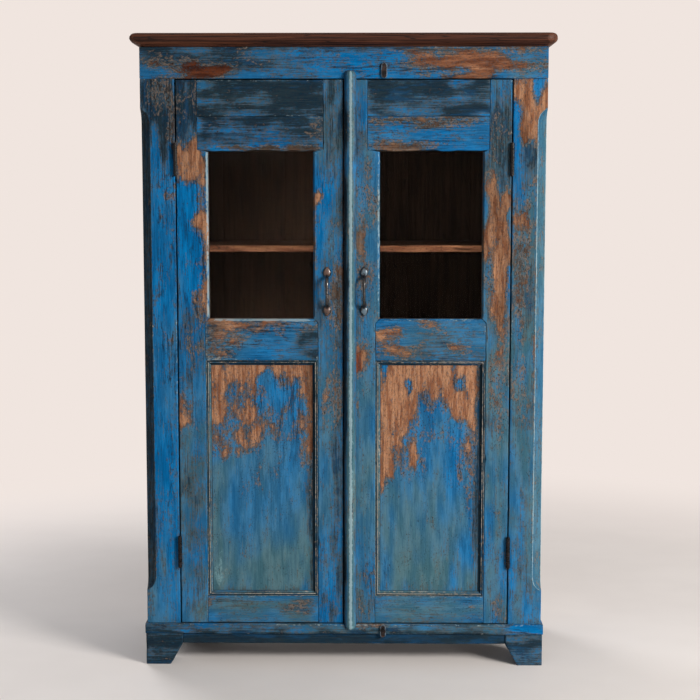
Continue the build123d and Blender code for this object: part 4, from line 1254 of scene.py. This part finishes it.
def pale_floor():
    """Pale matt floor near the cupboard, which turns into the plain background colour further out."""
    mix = Finish("pale_studio_floor")
    place = mix.node("ShaderNodeTexCoord", "Object", {})
    away = mix.node("ShaderNodeVectorMath", "Value", {0: place}, operation="LENGTH")
    far = mix.step(away, FADE_START, FADE_END)
    cloud = mix.streaks(place, 0.6, 0.5, detail=3.0)
    colour = mix.over(mix.step(cloud, 0.3, 0.7), tone(234, 227, 223), tone(240, 233, 229))
    mix.lay({"Base Color": colour, "Roughness": 0.7})
    strength = mix.step(seen(mix), 0.0, 1.0, UNSEEN_GLOW, 1.0)
    glow = mix.node("ShaderNodeEmission", 0, {"Color": SURROUND, "Strength": strength})
    blend = mix.node("ShaderNodeMixShader", 0, {0: far, 1: mix.surface.outputs[0], 2: glow})
    mix.feed(mix.tree.nodes["Material Output"].inputs["Surface"], blend)
    return mix.material


floor_mesh = bpy.data.meshes.new("studio_floor")
floor_mesh.from_pydata([(x, y, 0) for x, y in ((-1, -1), (1, -1), (1, 1), (-1, 1))], [], [(0, 1, 2, 3)])
floor_mesh.transform(((FLOOR_REACH, 0, 0, 0), (0, FLOOR_REACH, 0, 0), (0, 0, 1, 0), (0, 0, 0, 1)))
floor_mesh.materials.append(pale_floor())
floor = bpy.data.objects.new("studio_floor", floor_mesh)
bpy.context.scene.collection.objects.link(floor)


def soft_lamp(name, place, aim, width, height, power, colour):
    """A large flat lamp turned towards a point."""
    lamp = bpy.data.lights.new(name, "AREA")
    lamp.shape, lamp.size, lamp.size_y = "RECTANGLE", width, height
    lamp.energy, lamp.color = power, colour
    holder = bpy.data.objects.new(name, lamp)
    holder.location = place
    direction = Vector(aim) - Vector(place)
    holder.rotation_euler = direction.to_track_quat("-Z", "Y").to_euler()
    bpy.context.scene.collection.objects.link(holder)


soft_lamp("key_lamp", (4.2, -3.6, 2.5), (0, 0, 0.7), 2.2, 0.9, 345, (1.0, 0.97, 0.93))
soft_lamp("edge_lamp", (3.2, -3.2, 1.0), (0, 0, 1.0), 0.2, 1.7, 40, (1.0, 0.97, 0.95))
soft_lamp("fill_lamp", (-1.4, -4.6, 2.6), (0, 0, 0.6), 2.5, 2.5, 14, (0.93, 0.96, 1.0))
soft_lamp("rear_lamp", (-3.0, 4.4, 2.4), (0, 0, 0.9), 2.5, 2.5, 150, (0.98, 0.98, 1.0))


class StudioLight(Finish):
    """The light all round the studio, mixed with the same methods as a finish."""

    def __init__(self, name):
        world = bpy.data.worlds.new(name)
        bpy.context.scene.world = world
        world.use_nodes = True
        self.tree = world.node_tree


around = StudioLight("pale_studio")
heading = around.node("ShaderNodeTexCoord", "Generated", {})
towards = around.node("ShaderNodeVectorMath", "Value", {0: heading, 1: LIGHT_SIDE}, operation="DOT_PRODUCT")
glow = around.node("ShaderNodeMapRange", "Result", {"Value": towards, **SURROUND_RANGE})
around.feed(around.tree.nodes["Background"].inputs["Color"], around.over(seen(around), glow, SURROUND))

PHOTO_FOCAL = 1512.5
PHOTO_WIDTH = 700.0
CAMERA_PLACE = (0.073, -4.2075, 1.305)
CAMERA_PITCH, CAMERA_YAW = -6.231, 0.8
lens = bpy.data.cameras.new("photo_camera")
lens.sensor_width = 36.0
lens.lens = PHOTO_FOCAL / PHOTO_WIDTH * lens.sensor_width
camera = bpy.data.objects.new("photo_camera", lens)
camera.location = CAMERA_PLACE
camera.rotation_euler = (math.radians(90 + CAMERA_PITCH), 0, math.radians(CAMERA_YAW))
bpy.context.scene.collection.objects.link(camera)
bpy.context.scene.camera = camera
bpy.context.scene.view_settings.view_transform = "Standard"
